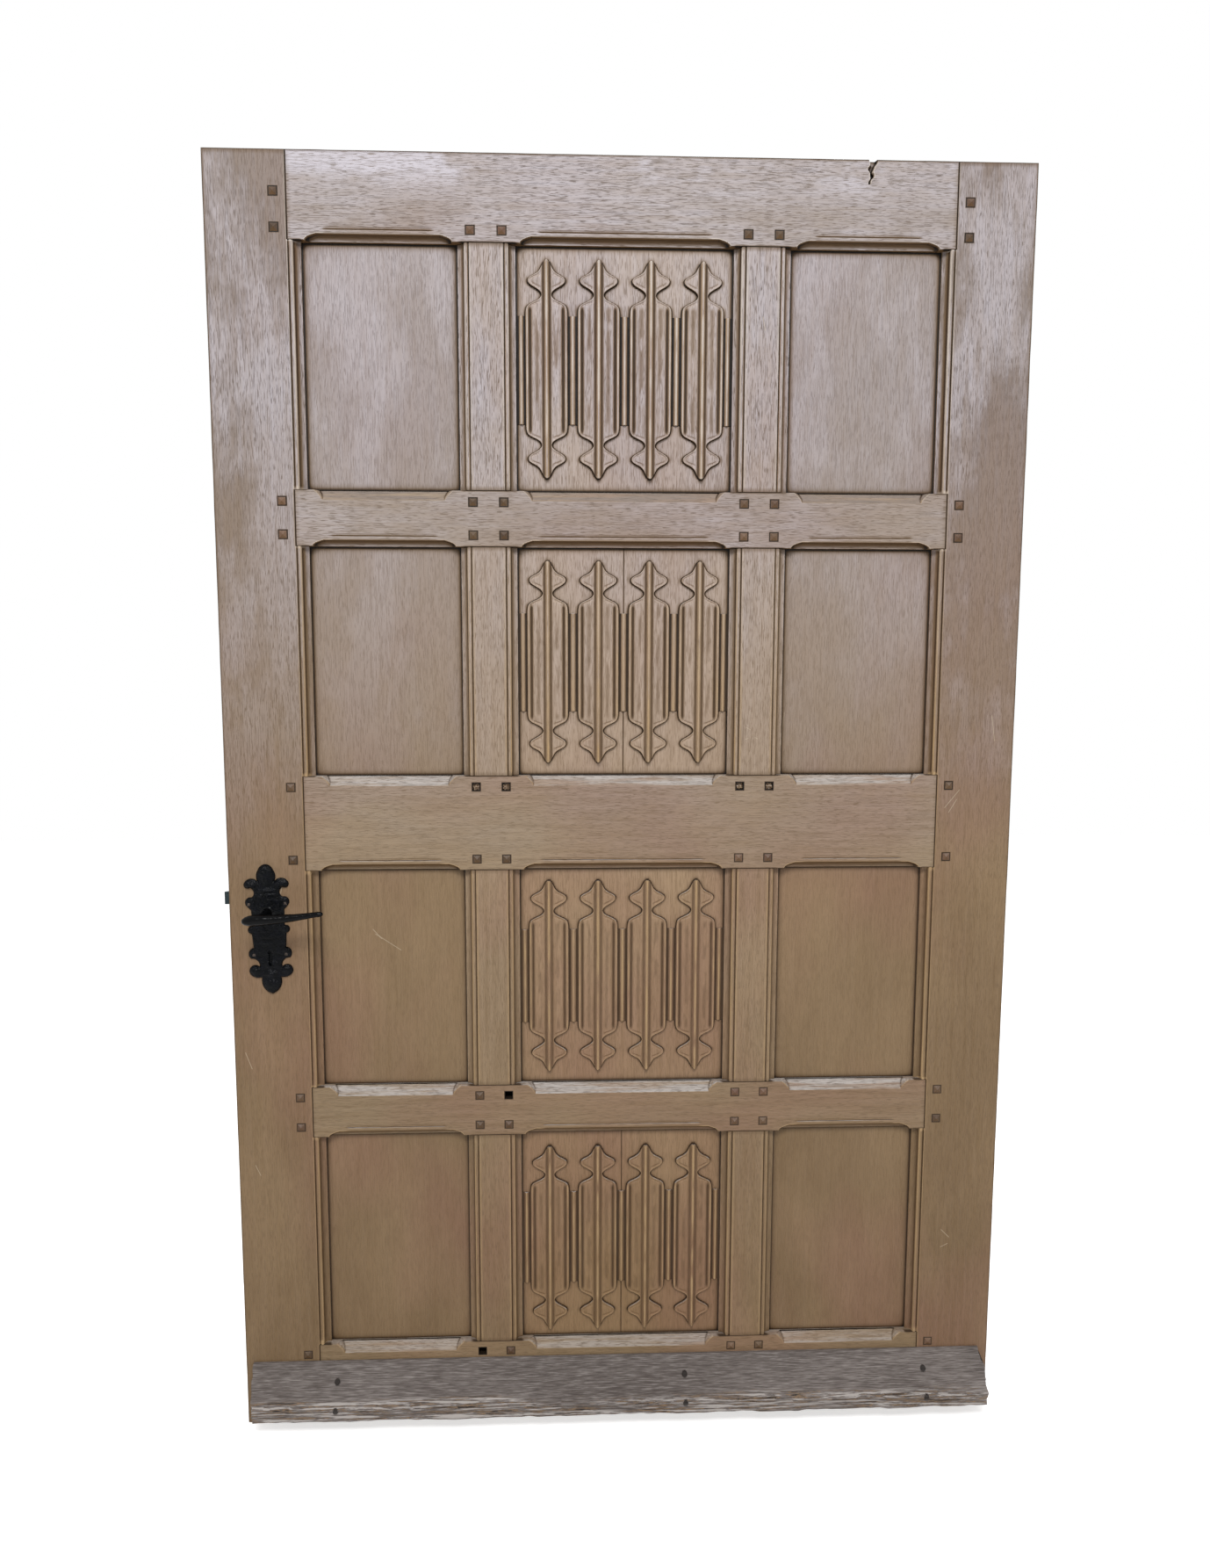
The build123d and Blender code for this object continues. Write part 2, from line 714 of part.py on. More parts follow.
def fold_end():
    """Right half of a fold's cut end, from its tip: a lobe, a narrow neck and a shoulder."""

    def at(half_share, run_share):
        return (half_share * FOLD_HALF, run_share * FOLD_END)

    tip = bend(at(0, 0), at(0.10, 0.02), at(0.20, 0.084), COARSE_CHORD_COUNT)
    flank = bend(at(0.20, 0.084), at(0.35, 0.205), at(0.74, 0.30), COARSE_CHORD_COUNT)
    lobe = bend(at(0.74, 0.30), at(0.87, 0.38), at(0.75, 0.463))
    neck = bend(at(0.41, 0.552), at(0.23, 0.645), at(0.41, 0.752))
    shoulder = bend(at(0.77, 0.818), at(0.945, 0.884), at(1, 1), COARSE_CHORD_COUNT)
    return [*tip, *flank, *lobe, at(0.75, 0.463), *neck, at(0.41, 0.752), *shoulder, at(1, 1)]


def fold_outline(low, high):
    """Whole outline of a fold in X and Z, the same at both ends and on both sides."""
    up = fold_end()
    right = [(x, low + run) for x, run in up] + [(x, high - run) for x, run in reversed(up)]
    left = [(-x, z) for x, z in reversed(right[1:-1])]
    return closed(*right, *left)


def carved_fold(low, high):
    """One upright fold between its two cut ends, drawn about X = 0 on the panel's face."""
    cloth = prism_z(fold_section(), low, high)
    shape = prism_y(fold_outline(low, high), -FOLD_REACH, 2 * CARVE_ROOT)
    return Pos(0, PANEL_FRONT, 0) * (cloth & shape)


def carved_strip(width, low, high):
    """Lower strip between two folds: a round bead between two shallow hollows."""
    half = width / 2
    side = ((0.45 * half, -1.4), (half, -1.6), (half, CARVE_ROOT))
    mirrored = [(-x, y) for x, y in reversed(side)]
    section = closed((0, -4.4), *side, *mirrored)
    start = low + STRIP_FROM_TIP
    end = high - STRIP_FROM_TIP
    return Pos(0, PANEL_FRONT, 0) * prism_z(section, start, end)


def linenfold_panel(row):
    """Carved panel: four folds with strips between them and at both sides."""
    bottom, top = SPANS[row]
    drop = ROW_4_DROP if row == "row_4" else 0.0
    low = bottom + FOLD_MARGIN - drop
    high = top - FOLD_MARGIN - drop
    fold = carved_fold(low, high)
    carving = [Pos(step * FOLD_PITCH, 0, 0) * fold for step in (-1.5, -0.5, 0.5, 1.5)]
    gap = FOLD_PITCH - 2 * FOLD_HALF
    strip = carved_strip(gap + 2 * STRIP_LAP, low, high)
    carving.extend(Pos(step * FOLD_PITCH, 0, 0) * strip for step in (-1, 0, 1))
    outer_fold = 1.5 * FOLD_PITCH + FOLD_HALF
    margin = MIDDLE_OPENING / 2 - outer_fold
    side_strip = carved_strip(margin + STRIP_LAP - SIDE_STRIP_GAP, low, high)
    centre = outer_fold + (margin - SIDE_STRIP_GAP - STRIP_LAP) / 2
    carving.extend(Pos(side * centre, 0, 0) * side_strip for side in (-1, 1))
    return panel_board("middle", row) + carving


def board_section():
    """Section of the weather board in Y and Z, with a drip groove under its nose."""
    nose = FACE - BOARD_REACH
    drip = nose + DRIP_BACK
    top = BOARD_FOOT + BOARD_HEIGHT
    return closed(
        (FACE, BOARD_FOOT),
        (FACE, top),
        (FACE - BOARD_LIP, top),
        (nose, BOARD_FOOT + BOARD_NOSE),
        (nose, BOARD_FOOT),
        (drip, BOARD_FOOT),
        (drip, BOARD_FOOT + DRIP_DEPTH),
        (drip + DRIP_WIDTH, BOARD_FOOT + DRIP_DEPTH),
        (drip + DRIP_WIDTH, BOARD_FOOT),
    )


def board_surface(rise):
    """Y of the weather board's sloping face at a height above its foot."""
    share = (BOARD_HEIGHT - rise) / (BOARD_HEIGHT - BOARD_NOSE)
    reach = BOARD_LIP + min(share, 1.0) * (BOARD_REACH - BOARD_LIP)
    return FACE - reach


def board_nail_places():
    """X, Z and the depth of the seat under the head of each nail in the weather board."""
    places = []
    for x in BOARD_NAIL_X:
        for rise in BOARD_NAIL_RISE:
            lowest = board_surface(rise + BOARD_NAIL_HEAD / 2)
            places.append((x, BOARD_FOOT + rise, lowest + BOARD_NAIL_SINK))
    return places


def board_nail_holes():
    """X and shape of each stepped hole for the weather board's nails, through board and leaf."""
    cuts = []
    head = BOARD_NAIL_HEAD + 2 * NAIL_FIT
    shank = BOARD_NAIL_SHANK + 2 * NAIL_FIT
    for x, z, seat in board_nail_places():
        cuts.append((x, square_bar(x, z, head, FACE - BOARD_REACH - OVERRUN, seat)))
        cuts.append((x, square_bar(x, z, shank, seat, FACE + BOARD_NAIL_BITE + OVERRUN)))
    return cuts


def weather_board():
    """Wedge-shaped board along the foot of the show face."""
    board = prism_x(board_section(), -HALF_WIDTH + BOARD_INSET_LOCK, HALF_WIDTH - BOARD_INSET_HINGE)
    return board - [hole for _, hole in board_nail_holes()]


def nail(x, z, under_head, sizes, length, inwards):
    """Forged nail along Y: a square shank under a low four-sided head."""
    head, head_height, shank = sizes
    ends = sorted((under_head, under_head + inwards * length))
    stem = square_bar(x, z, shank, *ends)
    return stem + pyramid(x, z, under_head, head, head_height, -inwards)


def weather_board_nails():
    """Nails that hold the weather board, their heads sunk in it."""
    sizes = (BOARD_NAIL_HEAD, BOARD_NAIL_HEAD_HEIGHT, BOARD_NAIL_SHANK)
    nails = []
    for x, z, seat in board_nail_places():
        nails.append(nail(x, z, seat, sizes, FACE + BOARD_NAIL_BITE - seat, 1))
    return Compound(children=nails)


def plate_half():
    """Right half of the handle plate's outline about the spindle, from top to bottom."""

    def up(half_share, share):
        return (half_share * PLATE_HALF, share * PLATE_RISE)

    def down(half_share, share):
        return (half_share * PLATE_HALF, -share * PLATE_DROP)

    bud = bend(up(0, 1), up(0.20, 0.97), up(0.36, 0.877))
    bud_foot = bend(up(0.36, 0.877), up(0.45, 0.753), up(0.385, 0.642))
    leaf = bend(up(0.385, 0.642), up(0.69, 0.71), up(1, 0.642))
    leaf_end = bend(up(1, 0.642), up(1, 0.531), up(0.77, 0.519))
    neck = bend(up(0.77, 0.519), up(0.60, 0.42), up(0.73, 0.321))
    shoulder = bend(up(0.73, 0.321), up(1, 0.272), up(0.97, 0.148))
    upper = [*bud, *bud_foot, *leaf, *leaf_end, *neck, *shoulder, up(0.97, 0.148), up(0.757, 0.05)]
    cusp = bend(down(0.757, 0.16), down(0.986, 0.207), down(0.757, 0.255))
    hip = bend(down(0.757, 0.429), down(1, 0.48), down(0.914, 0.56))
    waist = bend(down(0.914, 0.56), down(0.614, 0.589), down(0.529, 0.669))
    low_leaf = bend(down(0.529, 0.669), down(0.943, 0.662), down(0.971, 0.756))
    leaf_foot = bend(down(0.971, 0.756), down(0.743, 0.793), down(0.443, 0.793))
    low_bud = bend(down(0.443, 0.793), down(0.40, 0.916), down(0, 1))
    lower = [*cusp, down(0.757, 0.255), *hip, *waist, *low_leaf, *leaf_foot, *low_bud, down(0, 1)]
    return upper + lower


def plate_outline():
    """Outline of the handle plate, lobed like a lily at both ends."""
    right = plate_half()
    left = [(-x, z) for x, z in reversed(right[1:-1])]
    return closed(*right, *left)


def pierced_plate(plate, face_side):
    """Plate on one side of the leaf, cut for the lever's neck, the key and its four nails."""
    outside = BACK + PLATE_THICKNESS + OVERRUN
    bore = rod(NECK_RADIUS + NECK_FIT, SPINDLE_X, SPINDLE_Z, -outside, outside)
    width = PLATE_NAIL_SHANK + 2 * NAIL_FIT
    nails = [
        square_bar(x, z, width, -outside, outside) for x, z in plate_nail_places(face_side)
    ]
    return plate - [bore, key_passage(-outside, outside, 0), *nails]


def backplate_front():
    """Lily-shaped handle plate of the show face, hung slightly out of true."""
    plate = prism_y(plate_outline(), -PLATE_THICKNESS, 0)
    placed = Pos(SPINDLE_X, FACE, SPINDLE_Z) * Rot(0, -PLATE_TILT, 0) * plate
    return pierced_plate(placed, -1)


def backplate_rear():
    """Plain handle plate of the back."""
    half = REAR_PLATE_WIDTH / 2
    x0 = SPINDLE_X - half
    x1 = SPINDLE_X + half
    low = SPINDLE_Z - REAR_PLATE_DROP
    high = SPINDLE_Z + REAR_PLATE_RISE
    return pierced_plate(block(x0, x1, BACK, BACK + PLATE_THICKNESS, low, high), 1)


def plate_nails(face_side):
    """Four nails of one handle plate."""
    seat = face_side * (BACK + PLATE_THICKNESS)
    sizes = (PLATE_NAIL_HEAD, PLATE_NAIL_HEAD_HEIGHT, PLATE_NAIL_SHANK)
    places = plate_nail_places(face_side)
    length = PLATE_NAIL_LENGTH
    return Compound(children=[nail(x, z, seat, sizes, length, -face_side) for x, z in places])


def lever_arm():
    """Forged teardrop arm along X, many-sided: equal tapered slabs crossing about its length."""
    upper = [
        (-ARM_TAIL, 0.33 * ARM_RADIUS),
        (-0.9 * ARM_TAIL, 0.76 * ARM_RADIUS),
        (-0.6 * ARM_TAIL, ARM_RADIUS),
        (0.15 * ARM_REACH, 0.96 * ARM_RADIUS),
        (0.57 * ARM_REACH, 0.58 * ARM_RADIUS),
        (0.96 * ARM_REACH, 0.39 * ARM_RADIUS),
        (ARM_REACH, 0.17 * ARM_RADIUS),
    ]
    outline = closed(*upper, *[(x, -half) for x, half in reversed(upper)])
    slab = prism_z(outline, -2 * ARM_RADIUS, 2 * ARM_RADIUS)
    arm = slab
    for turn in range(1, ARM_SIDES // 2):
        arm = arm & Rot(360 * turn / ARM_SIDES, 0, 0) * slab
    return arm


def lever(face_side):
    """Lever handle: the arm and the neck that takes the spindle."""
    root = BACK + PLATE_THICKNESS + NECK_FIT
    axis_y = BACK + ARM_STANDOFF
    width = SPINDLE_SQUARE + 2 * SPINDLE_FIT
    round_foot = Plane((0, root, 0), x_dir=(1, 0, 0), z_dir=(0, 1, 0))
    neck = extrude(round_foot * RegularPolygon(NECK_RADIUS, ARM_SIDES), axis_y - root)
    cuts = [square_bar(0, 0, width, root - OVERRUN, root + SPINDLE_BITE + OVERRUN)]
    if face_side > 0:
        cuts.append(cross_pin(PIN_FIT))
    handle = (Pos(0, axis_y, 0) * lever_arm() + neck) - cuts
    if face_side < 0:
        handle = mirror(handle, Plane.XZ)
    return Pos(SPINDLE_X, 0, SPINDLE_Z) * Rot(0, -ARM_TILT, 0) * handle


def spindle():
    """Square bar from lever to lever, turned with the levers, pierced for the rear pin."""
    reach = BACK + PLATE_THICKNESS + NECK_FIT + SPINDLE_BITE
    bar = square_bar(0, 0, SPINDLE_SQUARE, -reach, reach) - cross_pin(PIN_FIT)
    return Pos(SPINDLE_X, 0, SPINDLE_Z) * Rot(0, -ARM_TILT, 0) * bar


def cross_pin(grow):
    """Square pin through the rear lever's neck and the spindle, or its hole when grown."""
    centre = BACK + PLATE_THICKNESS + NECK_FIT + PIN_FROM_PLATE
    half = PIN_WIDTH / 2 + grow
    reach = NECK_RADIUS + 2 * grow
    return block(-half, half, centre - half, centre + half, -reach, reach)


def lever_pin():
    """Pin that holds the rear lever on the spindle."""
    return Pos(SPINDLE_X, 0, SPINDLE_Z) * Rot(0, -ARM_TILT, 0) * cross_pin(0)


def case_span():
    """X, Y and Z spans of the outside of the lock case."""
    front = LOCK_EDGE + FOREND_THICKNESS
    half = CASE_THICKNESS / 2
    low = SPINDLE_Z - CASE_BOTTOM
    return front, front + CASE_DEPTH, -half, half, low, SPINDLE_Z + CASE_TOP


def bolt_mouths(x0, x1):
    """Openings in forend and case for the latch and the deadbolt."""
    fit = SLIDE_FIT
    latch_y = LATCH_THICK / 2 + fit
    latch_top = LATCH_BOTTOM + LATCH_HEIGHT + fit
    bolt_low = SPINDLE_Z + BOLT_BOTTOM
    bolt_y = BOLT_THICK / 2 + fit
    latch = block(x0, x1, -latch_y, latch_y, LATCH_BOTTOM - fit, latch_top)
    bolt = block(x0, x1, -bolt_y, bolt_y, bolt_low - fit, bolt_low + BOLT_HEIGHT + fit)
    return [latch, bolt]


def lock_case():
    """Tray of the mortise lock: back plate and four walls, open towards the cover."""
    x0, x1, y0, y1, z0, z1 = case_span()
    wall = CASE_WALL
    tray = block(x0, x1, y0, y1 - wall, z0, z1)
    room = block(x0 + wall, x1 - wall, y0 + wall, y1, z0 + wall, z1 - wall)
    bore = rod(HUB_RADIUS + HUB_FIT, SPINDLE_X, SPINDLE_Z, y0 - OVERRUN, y1)
    mouths = bolt_mouths(x0 - OVERRUN, x0 + wall + OVERRUN)
    return tray - [room, bore, key_passage(y0 - OVERRUN, y1, 0), *mouths]


def lock_cover():
    """Flat cover of the lock case."""
    x0, x1, _, y1, z0, z1 = case_span()
    plate = block(x0, x1, y1 - CASE_WALL, y1, z0, z1)
    bore = rod(HUB_RADIUS + HUB_FIT, SPINDLE_X, SPINDLE_Z, y1 - CASE_WALL - OVERRUN, y1 + OVERRUN)
    return plate - [bore, key_passage(y1 - CASE_WALL - OVERRUN, y1 + OVERRUN, 0)]


def forend_nail_places():
    """Z of the two forend nails."""
    low = SPINDLE_Z - CASE_BOTTOM - FOREND_OVERHANG
    high = SPINDLE_Z + CASE_TOP + FOREND_OVERHANG
    return (low + FOREND_NAIL_IN, high - FOREND_NAIL_IN)


def forend():
    """Face plate let into the edge of the lock stile."""
    low = SPINDLE_Z - CASE_BOTTOM - FOREND_OVERHANG
    high = SPINDLE_Z + CASE_TOP + FOREND_OVERHANG
    half = FOREND_WIDTH / 2
    plate = block(LOCK_EDGE, LOCK_EDGE + FOREND_THICKNESS, -half, half, low, high)
    holes = [forend_nail(z, NAIL_FIT) for z in forend_nail_places()]
    return plate - [*bolt_mouths(LOCK_EDGE - OVERRUN, LOCK_EDGE + FOREND_THICKNESS + OVERRUN), *holes]


def forend_nail(z, grow):
    """Square nail along X with its head let into the forend, or its hole when grown."""
    half = FOREND_NAIL_SHANK / 2 + grow
    wide = FOREND_NAIL_HEAD / 2 + grow
    neck = LOCK_EDGE + FOREND_NAIL_HEAD_DEPTH
    stem = block(LOCK_EDGE, LOCK_EDGE + FOREND_NAIL_LENGTH, -half, half, z - half, z + half)
    return stem + block(LOCK_EDGE, neck, -wide, wide, z - wide, z + wide)


def forend_nails():
    """Two nails of the forend."""
    return Compound(children=[forend_nail(z, 0) for z in forend_nail_places()])


def follower():
    """Cam on the spindle: a round hub with a square hole and an upright finger."""
    inner = CASE_THICKNESS / 2 - CASE_WALL - SLIDE_FIT
    outer = CASE_THICKNESS / 2
    hub = rod(HUB_RADIUS, 0, 0, -outer, outer)
    finger = block(-FINGER_HALF, FINGER_HALF, -inner, inner, 0, FINGER_TOP)
    hole = square_bar(0, 0, SPINDLE_SQUARE + 2 * SPINDLE_FIT, -outer - OVERRUN, outer + OVERRUN)
    cam = (hub + finger) - Rot(0, -ARM_TILT, 0) * hole
    return Pos(SPINDLE_X, 0, SPINDLE_Z) * cam


def latch_bolt():
    """Sprung latch: bevelled head, tail bar and the lug that the follower pushes."""
    nose = LOCK_EDGE - LATCH_THROW
    root = nose + LATCH_THROW + LATCH_HEAD
    half = LATCH_THICK / 2
    flat = -half + LATCH_NOSE
    bevel_end = LOCK_EDGE - LATCH_LAND
    head_outline = closed((nose, -half), (root, -half), (root, half), (bevel_end, half), (nose, flat))
    head = prism_z(head_outline, LATCH_BOTTOM, LATCH_BOTTOM + LATCH_HEIGHT)
    low = LATCH_BOTTOM + LATCH_TAIL_RISE
    high = low + LATCH_TAIL_HEIGHT
    lug_face = SPINDLE_X + FINGER_HALF + SLIDE_FIT
    lug_back = lug_face + LUG_WIDTH
    thin = LATCH_TAIL_THICK / 2
    tail = block(root - OVERRUN, lug_back, -thin, thin, low, high)
    lug = block(lug_face, lug_back, -thin, thin, SPINDLE_Z + LUG_BOTTOM, high)
    return head + [tail, lug]


def latch_spring():
    """Bent leaf spring from the case's roof to the back of the latch's lug."""
    tip_x = SPINDLE_X + FINGER_HALF + SLIDE_FIT + LUG_WIDTH + SLIDE_FIT
    root_x = case_span()[1] - CASE_WALL - SLIDE_FIT
    roof = SPINDLE_Z + CASE_TOP - CASE_WALL - SLIDE_FIT
    tip_z = LATCH_BOTTOM + LATCH_TAIL_RISE - SPRING_TIP_DROP
    foot_x = root_x - SPRING_FOOT
    gauge = SPRING_GAUGE
    outline = closed(
        (tip_x, tip_z),
        (tip_x + gauge, tip_z),
        (root_x, roof - 2 * gauge),
        (root_x, roof),
        (foot_x, roof),
        (foot_x, roof - gauge),
        (root_x - gauge, roof - gauge),
    )
    return prism_y(outline, -SPRING_WIDTH / 2, SPRING_WIDTH / 2)


def deadbolt():
    """Bolt thrown by the key, with the notch that the key's bit turns in."""
    low = SPINDLE_Z + BOLT_BOTTOM
    half = BOLT_THICK / 2
    bar = block(LOCK_EDGE, LOCK_EDGE + BOLT_LENGTH, -half, half, low, low + BOLT_HEIGHT)
    x0 = SPINDLE_X - TALON_WIDTH / 2
    x1 = SPINDLE_X + TALON_WIDTH / 2
    return bar - block(x0, x1, -half, half, low - OVERRUN, low + TALON_DEPTH)


def deadbolt_spring():
    """Leaf spring fixed to the case's rear wall, bearing on top of the deadbolt."""
    root_x = case_span()[1] - CASE_WALL - SLIDE_FIT
    top = SPINDLE_Z + BOLT_BOTTOM + BOLT_HEIGHT + SLIDE_FIT
    tip_x = LOCK_EDGE + BOLT_LENGTH - BOLT_SPRING_LAP
    bend_x = tip_x + BOLT_SPRING_FLAT
    foot = BOLT_SPRING_FOOT
    gauge = SPRING_GAUGE
    outline = closed(
        (tip_x, top),
        (bend_x, top),
        (root_x - gauge, top + foot),
        (root_x - gauge, top - foot),
        (root_x, top - foot),
        (root_x, top + foot + gauge),
        (bend_x, top + gauge),
        (tip_x, top + gauge),
    )
    return prism_y(outline, -SPRING_WIDTH / 2, SPRING_WIDTH / 2)


def stile_pegs(side):
    """Pegs of one stile, with the hidden foot peg cut off level."""
    pegs = [whole_peg(x, z) for x, z in stile_peg_places(side)]
    pegs.append(short_peg(*foot_peg_place(side), 0))
    return Compound(children=pegs)


def muntin_pegs(name):
    """Whole pegs of one line of muntins."""
    skipped = MISSING_PEGS + BROKEN_PEGS
    places = muntin_peg_places(name).items()
    return Compound(children=[whole_peg(x, z) for key, (x, z) in places if key not in skipped])


def broken_pegs():
    """Pegs broken off below the face."""
    places = {**muntin_peg_places("left"), **muntin_peg_places("right")}
    return Compound(children=[short_peg(*places[key], SUNK_DEPTH) for key in BROKEN_PEGS])


def nodes():
    """Every node's name and the function that makes it."""
    made = {
        "stile_lock": lambda: stile(-1),
        "stile_hinge": lambda: stile(1),
        "weather_board": weather_board,
        "weather_board_nails": weather_board_nails,
        "pegs_stile_lock": lambda: stile_pegs(-1),
        "pegs_stile_hinge": lambda: stile_pegs(1),
        "pegs_muntin_left": lambda: muntin_pegs("left"),
        "pegs_muntin_right": lambda: muntin_pegs("right"),
        "pegs_broken": broken_pegs,
        "backplate_front": backplate_front,
        "backplate_rear": backplate_rear,
        "plate_nails_front": lambda: plate_nails(-1),
        "plate_nails_rear": lambda: plate_nails(1),
        "lever_front": lambda: lever(-1),
        "lever_rear": lambda: lever(1),
        "spindle": spindle,
        "lever_pin": lever_pin,
        "lock_case": lock_case,
        "lock_cover": lock_cover,
        "forend": forend,
        "forend_nails": forend_nails,
        "follower": follower,
        "latch_bolt": latch_bolt,
        "latch_spring": latch_spring,
        "deadbolt": deadbolt,
        "deadbolt_spring": deadbolt_spring,
    }
    for name in RAILS:
        made[name] = lambda name=name: rail(name)
    for row in ROWS:
        made[f"linenfold_panel_{row}"] = lambda row=row: linenfold_panel(row)
        for name in MUNTINS:
            made[f"muntin_{name}_{row}"] = lambda name=name, row=row: muntin(name, row)
            made[f"plain_panel_{name}_{row}"] = lambda name=name, row=row: panel_board(name, row)
    return made


os.makedirs("parts", exist_ok=True)
for node, make in nodes().items():
    export_step(make(), f"parts/{node}.step")
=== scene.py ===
"""Looks of a panelled oak door leaf: worn oak, forged iron, and carving finer than the CAD model's.

Everything is in metres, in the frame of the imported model: X across the leaf, Y through it with
the show face towards -Y, and Z up. Shapes are worked out in millimetres and turned to metres when
their mesh is made. A board is a relief: how deep its front lies below the leaf's face, as a
function of X and Z.
"""

import math

import bpy
import numpy as np
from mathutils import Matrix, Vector
from mathutils.geometry import delaunay_2d_cdt


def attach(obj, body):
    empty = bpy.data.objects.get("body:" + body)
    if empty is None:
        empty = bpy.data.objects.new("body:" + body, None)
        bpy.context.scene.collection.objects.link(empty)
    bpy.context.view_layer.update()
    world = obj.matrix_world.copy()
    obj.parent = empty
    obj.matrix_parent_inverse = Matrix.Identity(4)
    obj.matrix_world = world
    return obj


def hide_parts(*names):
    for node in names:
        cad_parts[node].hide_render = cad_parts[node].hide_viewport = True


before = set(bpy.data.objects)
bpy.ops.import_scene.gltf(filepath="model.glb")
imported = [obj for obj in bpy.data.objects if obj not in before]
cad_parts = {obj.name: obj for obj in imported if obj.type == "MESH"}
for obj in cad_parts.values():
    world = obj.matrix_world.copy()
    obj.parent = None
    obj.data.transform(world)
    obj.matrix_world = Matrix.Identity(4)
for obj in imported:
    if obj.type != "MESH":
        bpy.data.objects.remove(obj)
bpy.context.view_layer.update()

# Sizes of the leaf, in millimetres, as in the CAD model
FACE = -24.0
BACK = 24.0
LEAF_HEIGHT = 2100.0
PANEL_FRONT = -8.0
PANEL_BACK = 6.0
PANEL_DEPTH = PANEL_FRONT - FACE
# How far a panel runs under the frame on each side
TONGUE = 9.0
HALF_WIDTH = 650.0
OPENING_EDGE = 505.0
SHOULDER = 523.3
OPENINGS = {"left": (-505.0, -262.5), "middle": (-172.5, 172.5), "right": (262.5, 505.0)}
MUNTINS = {"left": -217.5, "right": 217.5}
MUNTIN_HALF = 45.0
RAILS = {
    "bottom": (0.0, 142.0),
    "lower": (518.0, 606.0),
    "middle": (977.0, 1133.5),
    "upper": (1503.0, 1591.0),
    "top": (1968.0, LEAF_HEIGHT),
}
ROWS = {
    "row_1": (1591.0, 1968.0),
    "row_2": (1133.5, 1503.0),
    "row_3": (606.0, 977.0),
    "row_4": (142.0, 518.0),
}


def smooth(t):
    """Even step from 0 to 1: three t squared less two t cubed, held outside 0 to 1."""
    t = np.clip(t, 0.0, 1.0)
    return t * t * (3.0 - 2.0 * t)


def lattice(x, z, size_x, size_z, seed):
    """Soft random field from -1 to 1: random lattice values, joined by smooth steps."""
    table = np.random.default_rng(seed).uniform(-1.0, 1.0, (64, 64))
    u = x / size_x
    v = z / size_z
    iu = np.floor(u).astype(int)
    iv = np.floor(v).astype(int)
    su = smooth(u - iu)
    sv = smooth(v - iv)
    low, high = (table[iu % 64, row % 64] * (1 - su) + table[(iu + 1) % 64, row % 64] * su
                 for row in (iv, iv + 1))
    return low * (1 - sv) + high * sv


def ticks(*stretches):
    """Grid positions: each stretch is a start, an end and the widest step between them."""
    parts = [np.linspace(a, b, max(2, int(math.ceil(abs(b - a) / step)) + 1)) for a, b, step in stretches]
    values = np.unique(np.concatenate(parts))
    return values[np.append(np.diff(values) > 0.02, True)]


def rim(grid):
    """Values round the border of a grid, in order."""
    return np.concatenate([grid[:-1, 0], grid[-1, :-1], grid[:0:-1, -1], grid[0, :0:-1]])


def within(value, low, high):
    """Distance inside the nearer of two ends."""
    return np.minimum(value - low, high - value)


def ends(low, high, reach, step):
    """Two fine stretches, one inside each end of a longer one."""
    return [(low, low + reach, step), (high - reach, high, step)]


def hump(value, centre, width):
    """Round hump, 1 at its centre: e to the power of minus the squared distance, counted in widths."""
    return np.exp(-((value - centre) / width) ** 2)


def arc_through(start, middle, end, count):
    """Points along the circle through three points: its centre is where two chord bisectors meet."""
    a, b, c = (np.array(p, float) for p in (start, middle, end))
    matrix = 2 * np.array([b - a, c - a])
    centre = np.linalg.solve(matrix, [b @ b - a @ a, c @ c - a @ a])
    angles = [math.atan2(*(p - centre)[::-1]) for p in (a, b, c)]
    first, mid, last = np.unwrap(angles)
    if not min(first, last) <= mid <= max(first, last):
        last += math.copysign(2 * math.pi, mid - first)
    turn = np.linspace(first, last, count)
    radius = np.linalg.norm(a - centre)
    return centre + radius * np.stack([np.cos(turn), np.sin(turn)], 1)


